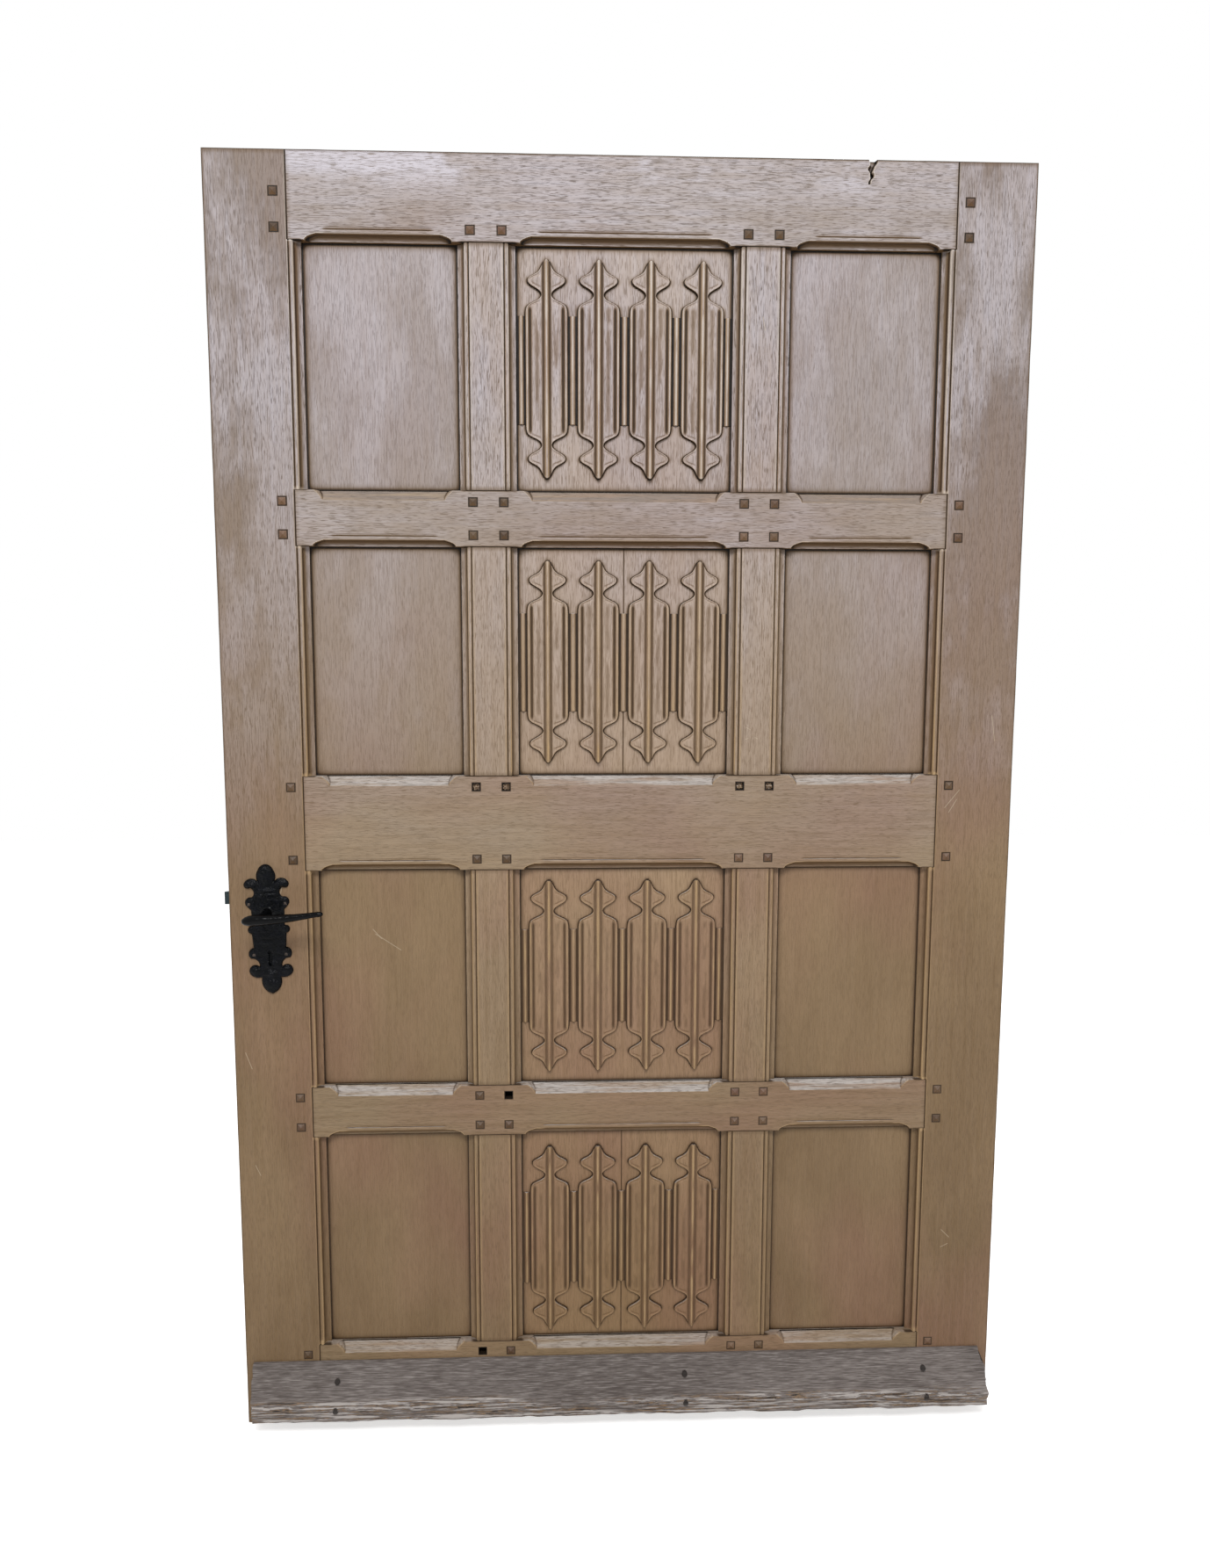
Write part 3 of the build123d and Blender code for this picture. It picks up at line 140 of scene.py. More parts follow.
class Shape:
    """Meshes joined into one piece: points in millimetres, faces, and wear and dirt with painted shade at
    each point.
    """

    def __init__(self):
        self.points, self.wear, self.dirt_and_shade = [], [], []
        self.corners, self.sizes = [], []
        self.count = 0

    def add_points(self, points, wear=0.0, dirt_and_shade=0.0):
        """Points with their wear, and dirt with painted shade; returns their numbers."""
        points = np.asarray(points, float).reshape(-1, 3)
        self.points.append(points)
        self.wear.append(np.broadcast_to(np.ravel(wear), len(points)))
        self.dirt_and_shade.append(np.broadcast_to(np.ravel(dirt_and_shade), len(points)))
        self.count += len(points)
        return np.arange(self.count - len(points), self.count)

    def ring(self, x, y, z, wear=0.0, dirt_and_shade=0.0):
        """Points of a closed ring that lies at one depth."""
        return self.add_points(np.stack([x, np.full(len(x), y), z], 1), wear, dirt_and_shade)

    def add_faces(self, faces):
        """Faces of equal size, as an array with one row of point numbers for each."""
        faces = np.asarray(faces)
        self.corners.append(faces.ravel())
        self.sizes.append(np.full(len(faces), faces.shape[1]))

    def grid(self, points, wear=0.0, dirt_and_shade=0.0, wrap=False, flip=False):
        """Quads over a grid of points; wrap joins the last row of the first index to the first."""
        index = self.add_points(points, wear, dirt_and_shade).reshape(points.shape[:2])
        if wrap:
            index = np.concatenate([index, index[:1]])
        quads = np.stack([index[:-1, :-1], index[1:, :-1], index[1:, 1:], index[:-1, 1:]], -1)
        if flip:
            quads = quads[..., ::-1]
        self.add_faces(quads.reshape(-1, 4))
        return index

    def band(self, near, far):
        """Quads between two closed rings of points."""
        self.add_faces(np.stack([near, far, np.roll(far, -1), np.roll(near, -1)], 1))

    def cap(self, ring):
        """One flat face over a closed ring of points."""
        self.add_faces(ring.reshape(1, -1))

    def tube(self, points, wear=0.0, dirt_and_shade=0.0, flip=False):
        """Closed tube: rings of points joined along it, with a flat cap at both ends."""
        index = self.grid(points, wear, dirt_and_shade, wrap=True, flip=flip)
        for ring in (index[:-1, 0][::-1], index[:-1, -1]):
            self.cap(ring[::-1] if flip else ring)

    def mesh(self, name, sharp):
        """Blender mesh in metres, smooth apart from edges sharper than an angle."""
        mesh = bpy.data.meshes.new(name)
        points = np.concatenate(self.points) * 0.001
        corners = np.concatenate(self.corners)
        sizes = np.concatenate(self.sizes)
        mesh.vertices.add(len(points))
        mesh.vertices.foreach_set("co", points.ravel())
        mesh.loops.add(len(corners))
        mesh.loops.foreach_set("vertex_index", corners)
        mesh.polygons.add(len(sizes))
        mesh.polygons.foreach_set("loop_start", np.concatenate([[0], np.cumsum(sizes)[:-1]]))
        for key, values in (("wear", self.wear), ("dirt_and_shade", self.dirt_and_shade)):
            layer = mesh.attributes.new(key, "FLOAT", "POINT")
            layer.data.foreach_set("value", np.clip(np.concatenate(values), 0, 1))
        mesh.update(calc_edges=True)
        mesh.validate()
        mesh.polygons.foreach_set("use_smooth", np.ones(len(sizes), bool))
        mesh.set_sharp_from_angle(angle=math.radians(sharp))
        return mesh


def in_scene(name, data):
    """New object in the scene, at the origin."""
    thing = bpy.data.objects.new(name, data)
    bpy.context.scene.collection.objects.link(thing)
    return thing


def place(shape, name, node, material, body="leaf", sharp=40.0):
    """Piece that rides on a body, has a finish, and stands for a CAD node."""
    mesh = shape.mesh(name, sharp)
    mesh.materials.append(material)
    piece = in_scene(name, mesh)
    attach(piece, body)
    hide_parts(node)


# Reliefs, all in millimetres below the leaf's face

MOULD_WIDTH = 18.5
MOULD_DEPTH = 12.0
FILLET = 2.2
BEAD = (10.5, 16.7)
QUIRK = 2.4


def mould_profile():
    """Depth of the moulding against the distance from the opening's edge: fillet, hollow, bead."""
    hollow_mid = (FILLET + 0.73 * (BEAD[0] - FILLET), 0.74 * MOULD_DEPTH)
    hollow = arc_through((FILLET, MOULD_DEPTH), hollow_mid, (BEAD[0], QUIRK), 17)
    bead = arc_through((BEAD[0] + 0.01, QUIRK), (sum(BEAD) / 2, 0.2), (BEAD[1] - 0.01, QUIRK), 15)
    start = [(-50.0, MOULD_DEPTH), (0.0, MOULD_DEPTH)]
    end = [(BEAD[1] + 0.3, QUIRK), (MOULD_WIDTH - 0.3, QUIRK), (MOULD_WIDTH, 0.35), (MOULD_WIDTH + 0.6, 0)]
    return np.concatenate([start, hollow, bead, end])


MOULD = mould_profile()
MOULD_TICKS = ((0, FILLET, 1.1), (FILLET, BEAD[0], 0.75), (BEAD[0], BEAD[1], 0.5),
               (BEAD[1], BEAD[1] + 0.3, 0.3), (BEAD[1] + 0.3, MOULD_WIDTH - 0.3, 0.6),
               (MOULD_WIDTH - 0.3, MOULD_WIDTH, 0.3), (MOULD_WIDTH, MOULD_WIDTH + 0.6, 0.3))


def rounding(distance, radius):
    """Drop of a rounded arris at a distance inside it: a quarter circle of that radius."""
    inside = np.clip(radius - distance, 0.0, radius)
    return radius - np.sqrt(radius**2 - inside**2)


def undulation(x, z, along_x, seed):
    """Hand-planed surface: shallow waves, longer along the grain than across it."""
    long, wide = 240.0, 45.0
    sizes = (long, wide) if along_x else (wide, long)
    return 0.22 * lattice(x, z, *sizes, seed) + 0.08 * lattice(x, z, sizes[0] / 5, sizes[1] / 4, seed + 1)


PEG_HOLE_HALF = 6.1


def peg_hole(x, z, centre_x, centre_z, depth):
    """Depth of a square peg hole with steep walls."""
    reach = np.maximum(np.abs(x - centre_x), np.abs(z - centre_z))
    return depth * np.clip((PEG_HOLE_HALF - reach) / 0.25, 0.0, 1.0)


def arris_wear(x, z, seed):
    """How much an arris is worn away, from place to place."""
    return 0.9 + 0.5 * lattice(x, z, 30, 30, seed) + 0.7 * np.maximum(lattice(x, z, 9, 9, seed + 3) - 0.55, 0)


def beside_rail(z, margin=0.0):
    """Whether a height lies beside one of the rails, or within a margin of one."""
    return np.any([(z > low - margin) & (z < high + margin) for low, high in RAILS.values()], axis=0)


# Pit in the lock stile behind the keyhole: its middle, half its width and height, and its depth
KEY_PIT_X, KEY_PIT_Z = 587.0, 832.0
KEY_PIT_HALF = (4.4, 17.4)
KEY_PIT_DEPTH = 14.0


def stile_depth(side, seed):
    """Relief of a stile: mouldings beside the openings, recessed under the rails' shoulders."""

    def depth(x, z):
        inwards = side * x - OPENING_EDGE
        moulded = np.interp(inwards, MOULD[:, 0], MOULD[:, 1])
        under_rail = beside_rail(z)
        housed = np.where(inwards < MOULD_WIDTH, MOULD_DEPTH + 0.5, 0.0)
        joint = np.where(under_rail, rounding(inwards - MOULD_WIDTH, 0.8), 0)
        outer = rounding(HALF_WIDTH - side * x, 1.2 * arris_wear(x, z, seed + 7))
        flat = undulation(x, z, False, seed) * smooth((inwards - MOULD_WIDTH) / 10)
        cut = rounding(within(z, 0, LEAF_HEIGHT), 1.0)
        beside = np.abs(side * x - KEY_PIT_X) < KEY_PIT_HALF[0]
        keyhole = KEY_PIT_DEPTH * beside * (np.abs(z - KEY_PIT_Z) < KEY_PIT_HALF[1]) * (side < 0)
        return np.where(under_rail, housed, moulded) + joint + outer + flat + cut + keyhole

    return depth


CHAMFER_RISE = 16.5
CHAMFER_DEPTH = 13.5
EAR_WIDTH = 24.0
EAR_SLOPE = 1.72


def ear(height):
    """How far the chamfer's end widens with height: 14 mm times the 1.63rd power of the share of
    17.5 mm that it has risen."""
    return 14.0 * np.clip(height / 17.5, 0.0, 1.0) ** 1.63


def chamfer_depth(x, z, x0, x1, top):
    """Sloping chamfer between two ears: the least of the slope and the two scooped end walls."""
    height = z - (top - CHAMFER_RISE)
    slope = CHAMFER_DEPTH * height / CHAMFER_RISE
    left = (x - (x0 + EAR_WIDTH - ear(height))) * EAR_SLOPE
    right = ((x1 - EAR_WIDTH + ear(height)) - x) * EAR_SLOPE
    return np.clip(np.minimum(slope, np.minimum(left, right)), 0.0, None)


def hollow_depth(x, z, x0, x1, bottom):
    """Stopped hollow under a rail: a quarter ellipse whose height runs out in a curve at each end,
    with a small bead above it and a quirk above the bead that both fade out before the stops."""
    height = z - bottom
    from_end = within(x, x0, x1)
    run = np.clip((from_end - 8.0) / 18.0, 0.0, 1.0)
    full = 10.0 * run**0.487
    share = np.clip(height / np.maximum(full, 0.01), 0.0, 1.0)
    cove = 11.0 * np.sqrt(1.0 - share**2) * np.clip(run * 4, 0, 1) ** 0.5
    fade = smooth((from_end - 30.0) / 14.0)
    bead = 0.9 * ((height - 12.9) / 2.9) ** 2 * ((height > 10.0) & (height < 15.8))
    quirk = 1.7 * np.clip(1.0 - np.abs(height - 16.4) / 0.9, 0.0, 1.0)
    upper = 0.7 * np.clip(1.0 - np.abs(height - 18.6) / 1.4, 0.0, 1.0)
    return np.where(height < full, cove, 0.0) + fade * np.maximum(np.maximum(bead, quirk), upper)


MISSING_PEGS = {"lower": [(-193.0, 588.0)], "bottom": [(-242.0, 124.0)]}
PEG_X = 24.5
MUNTIN_PEG_X = [centre + side * PEG_X for centre in MUNTINS.values() for side in (-1, 1)]
BROKEN_PEGS = {"middle": [(x, 1115.5) for x in MUNTIN_PEG_X]}
STILE_PEG_X = SHOULDER + 20.0
PEG_LEVELS = {
    "bottom": (124.0,),
    "lower": (536.0, 588.0),
    "middle": (995.0, 1115.5),
    "upper": (1521.0, 1573.0),
    "top": (1986.0,),
}
STILE_PEG_LEVELS = [z for levels in PEG_LEVELS.values() for z in levels] + [2039.0]


def peg_edges(centre):
    """Fine grid steps on both sides of a peg."""
    return [(centre - 9.6, centre - 5.2, 0.9), (centre + 5.2, centre + 9.6, 0.9)]


def peg_soil(x, z, across, levels):
    """Dark outline round every peg: pegs stand at each of the levels, at each place across."""
    total = 0.0
    for centre_x in across:
        for centre_z in levels:
            reach = np.maximum(np.abs(x - centre_x), np.abs(z - centre_z))
            total = np.maximum(total, 0.95 * hump(reach, 6.4, 1.1))
    return total


SPLIT_X = 387.0
SPLIT_LENGTH = 36.0


def split_depth(x, z):
    """Split at the top edge of the top rail: a ragged wedge with splintered sides."""
    fall = LEAF_HEIGHT - z
    centre = SPLIT_X - 0.10 * fall + 1.6 * np.sin(fall / 3.1)
    half = np.clip(6.5 - 0.15 * fall, 0.5, None) + 0.7 * np.sin(fall / 1.7)
    return np.where(fall < SPLIT_LENGTH, 9.0 * np.clip((half - np.abs(x - centre)) / 2.2, 0, 1), 0.0)


def rail_depth(name, seed):
    """Relief of a rail: chamfers above, hollows below, empty and broken peg holes."""
    low, high = RAILS[name]

    def depth(x, z):
        total = undulation(x, z, True, seed)
        for x0, x1 in OPENINGS.values():
            if name != "top":
                total = total + chamfer_depth(x, z, x0, x1, high)
            if name != "bottom":
                total = total + hollow_depth(x, z, x0, x1, low)
        for cx, cz in MISSING_PEGS.get(name, ()):
            total = np.maximum(total, peg_hole(x, z, cx, cz, 37.0))
        for cx, cz in BROKEN_PEGS.get(name, ()):
            splinters = 4.2 + 1.6 * lattice(x, z, 2.5, 2.5, seed + 11)
            total = np.maximum(total, peg_hole(x, z, cx, cz, 1.0) * splinters)
        if name == "top":
            total = np.maximum(total, split_depth(x, z))
        edge = np.minimum(within(z, low, high), SHOULDER - np.abs(x))
        return total + rounding(edge, 0.7 * arris_wear(x, z, seed + 5))

    return depth


def muntin_depth(centre, low, high, seed):
    """Relief of a muntin: moulded along both edges."""

    def depth(x, z):
        inwards = MUNTIN_HALF - np.abs(x - centre)
        moulded = np.interp(inwards, MOULD[:, 0], MOULD[:, 1])
        flat = undulation(x, z, False, seed) * smooth((inwards - MOULD_WIDTH) / 8)
        return moulded + flat + rounding(within(z, low, high), 0.6)

    return depth


def exposure(depth, x, z):
    """Wear where a point stands above the places 1.6 mm around it, dirt and painted shade where it lies below
    them.

    Both come from the mean depth of eight places around the point, less the point's own depth."""
    own = depth(x, z)
    wear, dirt_and_shade = 0.0, 0.0
    for radius, worn, soiled in ((1.6, 0.55, 0.30), (5.0, 0.12, 0.17)):
        around = 0.0
        for step in range(8):
            turn = step * math.pi / 4
            around = around + depth(x + radius * math.cos(turn), z + radius * math.sin(turn)) / 8
        proud = (around - own) / radius
        wear = wear + worn * np.clip(proud, 0, 1.2)
        dirt_and_shade = dirt_and_shade + soiled * np.clip(-proud, 0, 1.5) * 2
    return own, wear, dirt_and_shade


def board(shape, xs, zs, depth, back, arris=1.0, soil=None, rear_width=None, pocket=None):
    """Closed board: a relief front, plain sides, rounded rear arrises and a flat back.

    Behind a lap the board may be narrower, and its first side may have a pocket."""
    x, z = np.meshgrid(xs, zs, indexing="ij")
    own, wear, dirt_and_shade = exposure(depth, x, z)
    if soil is not None:
        soiled = soil(x, z)
        dirt_and_shade = np.maximum(dirt_and_shade, soiled)
        wear = wear * (1 - smooth(soiled / 0.35))
    rings = [rim(shape.grid(np.stack([x, FACE + own, z], -1), wear, dirt_and_shade))]
    flat_x, flat_z = rim(x), rim(z)

    def add_ring(ring_x, y, ring_z, dirt_and_shade=0.1):
        rings.append(shape.ring(ring_x, y, ring_z, 0.1, dirt_and_shade))

    if rear_width is not None:
        add_ring(flat_x, FACE + 11.6, flat_z)
        flat_x = flat_x * rear_width / SHOULDER
        add_ring(flat_x, FACE + 11.8, flat_z)
    if pocket is not None:
        for y in POCKET_LEVELS:
            inset = np.where(flat_x <= xs[0], pocket(y, flat_z), 0.0)
            add_ring(flat_x + inset, y, flat_z, np.clip(inset / 6, 0.1, 1))
    inner_x = np.clip(flat_x, flat_x.min() + arris, flat_x.max() - arris)
    inner_z = np.clip(flat_z, zs[0] + arris, zs[-1] - arris)
    add_ring(flat_x, back - arris, flat_z)
    add_ring(inner_x, back, inner_z)
    for near, far in zip(rings[:-1], rings[1:]):
        shape.band(near, far)
    shape.cap(rings[-1][::-1])


def worn_board(node, material, slot, xs, zs, depth, back, **options):
    """Worn member in place of a plain one: its board as a piece of its own."""
    shape = Shape()
    board(shape, xs, zs, depth, back, **options)
    place(shape, node + "_worn", node, material)


# Materials


def srgb(code):
    """Linear colour of an sRGB hex value."""
    parts = [int(code[i:i + 2], 16) / 255 for i in (1, 3, 5)]
    return [p / 12.92 if p <= 0.04045 else ((p + 0.055) / 1.055) ** 2.4 for p in parts] + [1.0]


def add(tree, kind, inputs=(), **settings):
    """One shader node with its settings. Its inputs come in order or by name: each is a number, a
    vector, a hex colour, or the socket or node it is linked to, and a node means its first output."""
    node = tree.nodes.new("ShaderNode" + kind)
    for key, value in settings.items():
        setattr(node, key, value)
    for key, value in inputs.items() if isinstance(inputs, dict) else enumerate(inputs):
        if isinstance(value, bpy.types.Node):
            value = value.outputs[0]
        if isinstance(value, bpy.types.NodeSocket):
            tree.links.new(value, node.inputs[key])
        else:
            node.inputs[key].default_value = srgb(value) if isinstance(value, str) else value
    return node


def new_material(name):
    """Empty node material, and the tree to fill."""
    material = bpy.data.materials.new(name)
    material.use_nodes = True
    material.node_tree.nodes.clear()
    return material, material.node_tree


def stained(tree, colour, *stains):
    """A colour under stains, one over another. Each stain is a tone and the ranges that bring it in:
    a value is stretched from its range to a share, from 0 to 1 unless other ends follow, and the
    shares are multiplied."""
    for tone, *ranges in stains:
        share, *others = [add(tree, "MapRange", limits) for limits in ranges]
        for other in others:
            share = add(tree, "Math", (share, other), operation="MULTIPLY")
        colour = add(tree, "Mix", {0: share, 6: colour, 7: tone}, data_type="RGBA").outputs[2]
    return colour


def pattern(tree, size_mm, detail, roughness, along="X", stretch=1.0, shift=(0, 0, 0)):
    """Noise whose patches are about a size in millimetres: object coordinates are squeezed along the
    grain first, so that the patches run long in that direction."""
    source = add(tree, "TexCoord").outputs["Object"]
    scale = [1.0 / stretch if axis == along else 1.0 for axis in "XYZ"]
    placed = add(tree, "Mapping", {"Vector": source, "Scale": scale, "Location": shift})
    return add(tree, "TexNoise", {
        "Vector": placed, "Scale": 1000.0 / size_mm, "Detail": detail, "Roughness": roughness})


def surface(tree, colour, roughness, relief, depth_mm, strength, sockets):
    """Shader of a material: colour, roughness, a fine relief of a depth in millimetres, and numbers
    for other sockets by their names."""
    bump = add(tree, "Bump", {"Strength": strength, "Distance": depth_mm / 1000, "Height": relief})
    shader = add(tree, "BsdfPrincipled", {
        "Base Color": colour, "Roughness": roughness, "Normal": bump, **sockets})
    add(tree, "OutputMaterial", (shader,))


# Light scratches on the show face, end to end, in millimetres
SCRATCHES = (
    (538, 1078, 562, 1108), (545, 1070, 558, 1092), (-414, 866, -372, 838), (-418, 874, -404, 858),
    (262, 1182, 268, 1236), (241, 1268, 246, 1252), (612, 1232, 618, 1190), (-622, 470, -614, 452),
    (-632, 668, -622, 640), (560, 332, 574, 318), (560, 300, 572, 306), (218, 1862, 222, 1842),
    (202, 1213, 209, 1209), (201, 1193, 206, 1195), (217, 1196, 221, 1194), (-566, 938, -560, 962),
)


def scratch_gap(tree, source, x0, z0, x1, z1):
    """Distance from a scratch on the show face: the gap to the nearest point of the line from its
    start to its end, seen from the front."""
    start = (x0 / 1000, 0.0, z0 / 1000)
    along = np.array((x1 - x0, 0.0, z1 - z0)) / 1000
    flat = add(tree, "VectorMath", (source, (1.0, 0.0, 1.0)), operation="MULTIPLY")
    offset = add(tree, "VectorMath", (flat, start), operation="SUBTRACT")
    share = add(tree, "VectorMath", (offset, tuple(along / (along @ along))), operation="DOT_PRODUCT")
    held = add(tree, "MapRange", (share.outputs[1], 0.0, 1.0))
    foot = add(tree, "VectorMath", {0: tuple(along), 3: held}, operation="SCALE")
    return add(tree, "VectorMath", (offset, foot), operation="DISTANCE").outputs[1]


def painted_oak(part, along, low_tone, high_tone, film_and_sheen, contrast, shift, crown=1.0, scuffs=0.0):
    """Oak under a thin olive-brown coat, lighter with height, partly as painted sheen of the light above.
    Crests are rubbed to bare tan wood. Hollows get dirt and painted shade, black where deepest, and
    faces that look down get painted shade in dark brown. Towards the top of the leaf, faces that look
    to the front get a pale grey film, partly bleached wood and partly a painted reflection of the
    bright sky, that the open pores break up, so the grain reads strongest there. Slopes that look up
    get grey wood, partly painted light from above. film_and_sheen is how far the film covers, contrast
    how much pores and streaks show, crown under 1 how smudged it is, and scuffs how white the leaf's
    top edge is rubbed."""
    material, tree = new_material("painted_oak_" + part)
    source = add(tree, "TexCoord").outputs["Object"]
    height = add(tree, "SeparateXYZ", (source,)).outputs[2]
    normal = add(tree, "NewGeometry").outputs["Normal"]
    _, facing, rising = add(tree, "SeparateXYZ", (normal,)).outputs
    worn = add(tree, "Attribute", attribute_name="wear").outputs["Fac"]
    dirt_and_shade = add(tree, "Attribute", attribute_name="dirt_and_shade").outputs["Fac"]
    # Dirt and painted shade from the mesh, heavier towards the top of the leaf
    deeper = add(tree, "MapRange", (height, 0.9, 1.9, 1.0, 1.7))
    soiled = add(tree, "Math", (dirt_and_shade, deeper), operation="MULTIPLY")
    pores = pattern(tree, 1.05, 1.0, 0.5, along, 14.0, shift)
    lines = pattern(tree, 1.6, 3.0, 0.6, along, 34.0, shift)
    streaks = pattern(tree, 8.0, 5.0, 0.65, along, 20.0, shift)
    patches = pattern(tree, 110.0, 5.0, 0.62, along, 2.5, shift)
    tint = pattern(tree, 230.0, 2.0, 0.5, along, 1.6, (3.1, 0.4, 1.7))
    short_pores = add(tree, "MapRange", (pores, 0.56, 0.66))
    long_pores = add(tree, "MapRange", (lines, 0.54, 0.66, 0.0, 0.8))
    pore = add(tree, "Math", (short_pores, long_pores), operation="MAXIMUM")

    # Pale grey film, partly bleached wood and partly a painted reflection of the bright sky
    film_and_sheen_tone = stained(
        tree, "#AEA7AB", ("#6C6565", (patches, 0.44, 0.56, 0.0, 0.75 * (1 - crown))),
        ("#655C5A", (pore, 0.0, 1.0, 0.0, contrast)))
    # Bare wood, paler and greyer towards the top, partly painted sheen
    bare_tone = stained(tree, "#B39670", ("#CDC2B8", (height, 1.2, 1.8)))
    # Grey wood for slopes that look up, partly painted light from above, darker above 1.5 m
    pale_tone = stained(
        tree, "#B3ABA5", ("#8B7E75", (height, 1.44, 1.52)), ("#6F645B", (pore, 0.0, 1.0, 0.0, 0.8)))
    scratches = [("#C9B9A0", (scratch_gap(tree, source, *ends), 0.0002, 0.0009, 0.45, 0.0))
                 for ends in SCRATCHES]
    colour = stained(
        tree, low_tone,
        # The coat: lighter with height, partly painted sheen, in warm clouds, dark streaks, pale patches and
        # pores
        (high_tone, (height, 0.25, 1.65)),
        ("#8C6657", (tint, 0.45, 0.66, 0.0, 0.40)),
        ("#68502F", (streaks, 0.40, 0.64, 0.0, 0.30 * contrast)),
        ("#A58B6B", (patches, 0.42, 0.66, 0.0, 0.22)),
        ("#54402A", (pore, 0.0, 1.0, 0.0, 0.34 * contrast)),
        # Film on faces that look to the front, partly bleaching, partly painted sky reflection; white scuffs
        # along the top
        (film_and_sheen_tone, (height, 0.95, 1.74), (facing, -0.74, -0.95),
         (patches, 0.38, 0.60, film_and_sheen, (1 - 0.32 * contrast) * film_and_sheen),
         (streaks, 0.35, 0.65, 1.0, 1.0 - 0.3 * contrast), (soiled, 0.05, 0.5, 1.0, 0.1)),
        ("#D2CFDA", (height, 2.02, 2.075, 0.0, scuffs), (facing, -0.80, -0.97),
         (patches, 0.47, 0.55), (pore, 0.0, 1.0, 1.0, 0.3)),
        *scratches,
        # Bare wood on rubbed crests, and grey wood on slopes that look up, partly painted light from above
        (bare_tone, (worn, 0.08, 0.45, 0.0, 0.95), (streaks, 0.30, 0.60, 0.35, 1.0)),
        (pale_tone, (rising, 0.42, 0.60), (height, 0.14, 0.45, 0.6, 1.0), (streaks, 0.40, 0.56, 0.25, 1.0)),
        # Painted shade: dark brown on faces that look down; dirt and painted shade in the hollows, black
        # where thick
        ("#664927", (rising, -0.15, -0.70, 0.0, 0.88)),
        ("#402C17", (soiled, 0.04, 0.50, 0.0, 0.90)),
        ("#120C07", (soiled, 0.45, 0.95)))

    pits = add(tree, "Math", (pore, -0.8), operation="MULTIPLY")
    ridges = add(tree, "Math", (streaks, 0.6), operation="MULTIPLY")
    relief = add(tree, "Math", (pits, ridges), operation="ADD")
    roughness = add(tree, "MapRange", (streaks, 0.3, 0.7, 0.44, 0.62))
    surface(tree, colour, roughness, relief, 0.7, 0.5, {"IOR": 1.45, "Specular IOR Level": 0.28})
    return material


def weathered_oak(name):
    """Bare oak that weather has turned grey: raised pale fibres between dark checks along the grain,
    and flakes of white, tan and black on its worn nose."""
    material, tree = new_material(name)
    worn = add(tree, "Attribute", attribute_name="wear").outputs["Fac"]
    soiled = add(tree, "Attribute", attribute_name="dirt_and_shade").outputs["Fac"]
    fibres = pattern(tree, 1.6, 2.0, 0.6, "X", 16.0)
    streaks = pattern(tree, 3.4, 4.0, 0.65, "X", 22.0, (2.0, 0.0, 1.0))
    patches = pattern(tree, 90.0, 3.0, 0.55, "X", 3.0, (0.0, 0.0, 3.0))
    flaky = (worn, 0.34, 0.62)
    colour = stained(
        tree, "#655D59",
        ("#766E6A", (patches, 0.38, 0.60)),
        ("#3F3733", (fibres, 0.50, 0.38, 0.0, 0.55)),
        ("#A8A19D", (fibres, 0.54, 0.66, 0.0, 0.40)),
        ("#C0B9B4", (streaks, 0.52, 0.57, 0.0, 0.8), flaky),
        ("#8E7458", (streaks, 0.46, 0.44), (streaks, 0.40, 0.42), flaky),
        ("#231C18", (streaks, 0.41, 0.38, 0.0, 0.9), flaky),
        ("#1E1916", (soiled, 0.1, 0.8, 0.0, 0.9)))
    surface(tree, colour, 0.82, fibres, 1.2, 0.8, {"IOR": 1.5, "Specular IOR Level": 0.3})
    return material


def metal(name, dark, light, roughness, metallic, dent_mm, dent_depth, gloss=0.5):
    """Worked metal: hammer or file marks of a size and depth in millimetres that break up the
    highlights, and a tone that drifts with them."""
    material, tree = new_material(name)
    dents = pattern(tree, dent_mm, 2.0, 0.5)
    specks = pattern(tree, dent_mm / 4, 3.0, 0.6)
    colour = stained(tree, dark, (light, (dents, 0.35, 0.7)))
    fine = add(tree, "Math", (specks, 0.25), operation="MULTIPLY")
    relief = add(tree, "Math", (dents, fine), operation="ADD")
    rough = add(tree, "MapRange", (specks, 0.3, 0.7, roughness, roughness + 0.14))
    surface(tree, colour, rough, relief, dent_depth, 1.0,
            {"Metallic": metallic, "Specular IOR Level": gloss})
    return material


UPRIGHT_OAK = painted_oak("upright", "Z", "#7B6449", "#8F785D", 0.98, 0.85, (0.0, 0.0, 0.0), 0.0)
LEVEL_OAK = painted_oak("level", "X", "#877257", "#A4917A", 0.96, 0.95, (1.3, 0.0, 2.1), 0.5, 0.6)
PANEL_OAK = painted_oak("panel", "Z", "#7B6449", "#937C60", 0.90, 0.5, (5.2, 0.0, 0.7), 0.6)
CARVED_OAK = painted_oak("carved", "Z", "#8B6F50", "#B89F84", 0.85, 0.8, (7.7, 0.0, 4.4))
MUNTIN_OAK = painted_oak("muntin", "Z", "#826C50", "#AC967F", 1.0, 1.0, (0.6, 0.0, 3.3))
PEG_OAK = painted_oak("peg", "Y", "#4E3C2C", "#4A3A2E", 0.0, 0.5, (2.7, 0.0, 8.4))
GREY_OAK = weathered_oak("weathered_grey_oak")
# Iron under glossy black paint: the plates are hammered all over, the levers are smoother
IRON = metal("black_painted_iron", "#020304", "#070910", 0.08, 0.0, 7.0, 2.2, 0.09)
LEVER_IRON = metal("polished_black_iron", "#020203", "#050506", 0.04, 0.0, 12.0, 0.4, 0.11)
# Nails gone brown with rust, plain and dull
NAIL_IRON = metal("rusted_nail_iron", "#2A211C", "#4A3A2E", 0.55, 0.0, 3.0, 0.7)
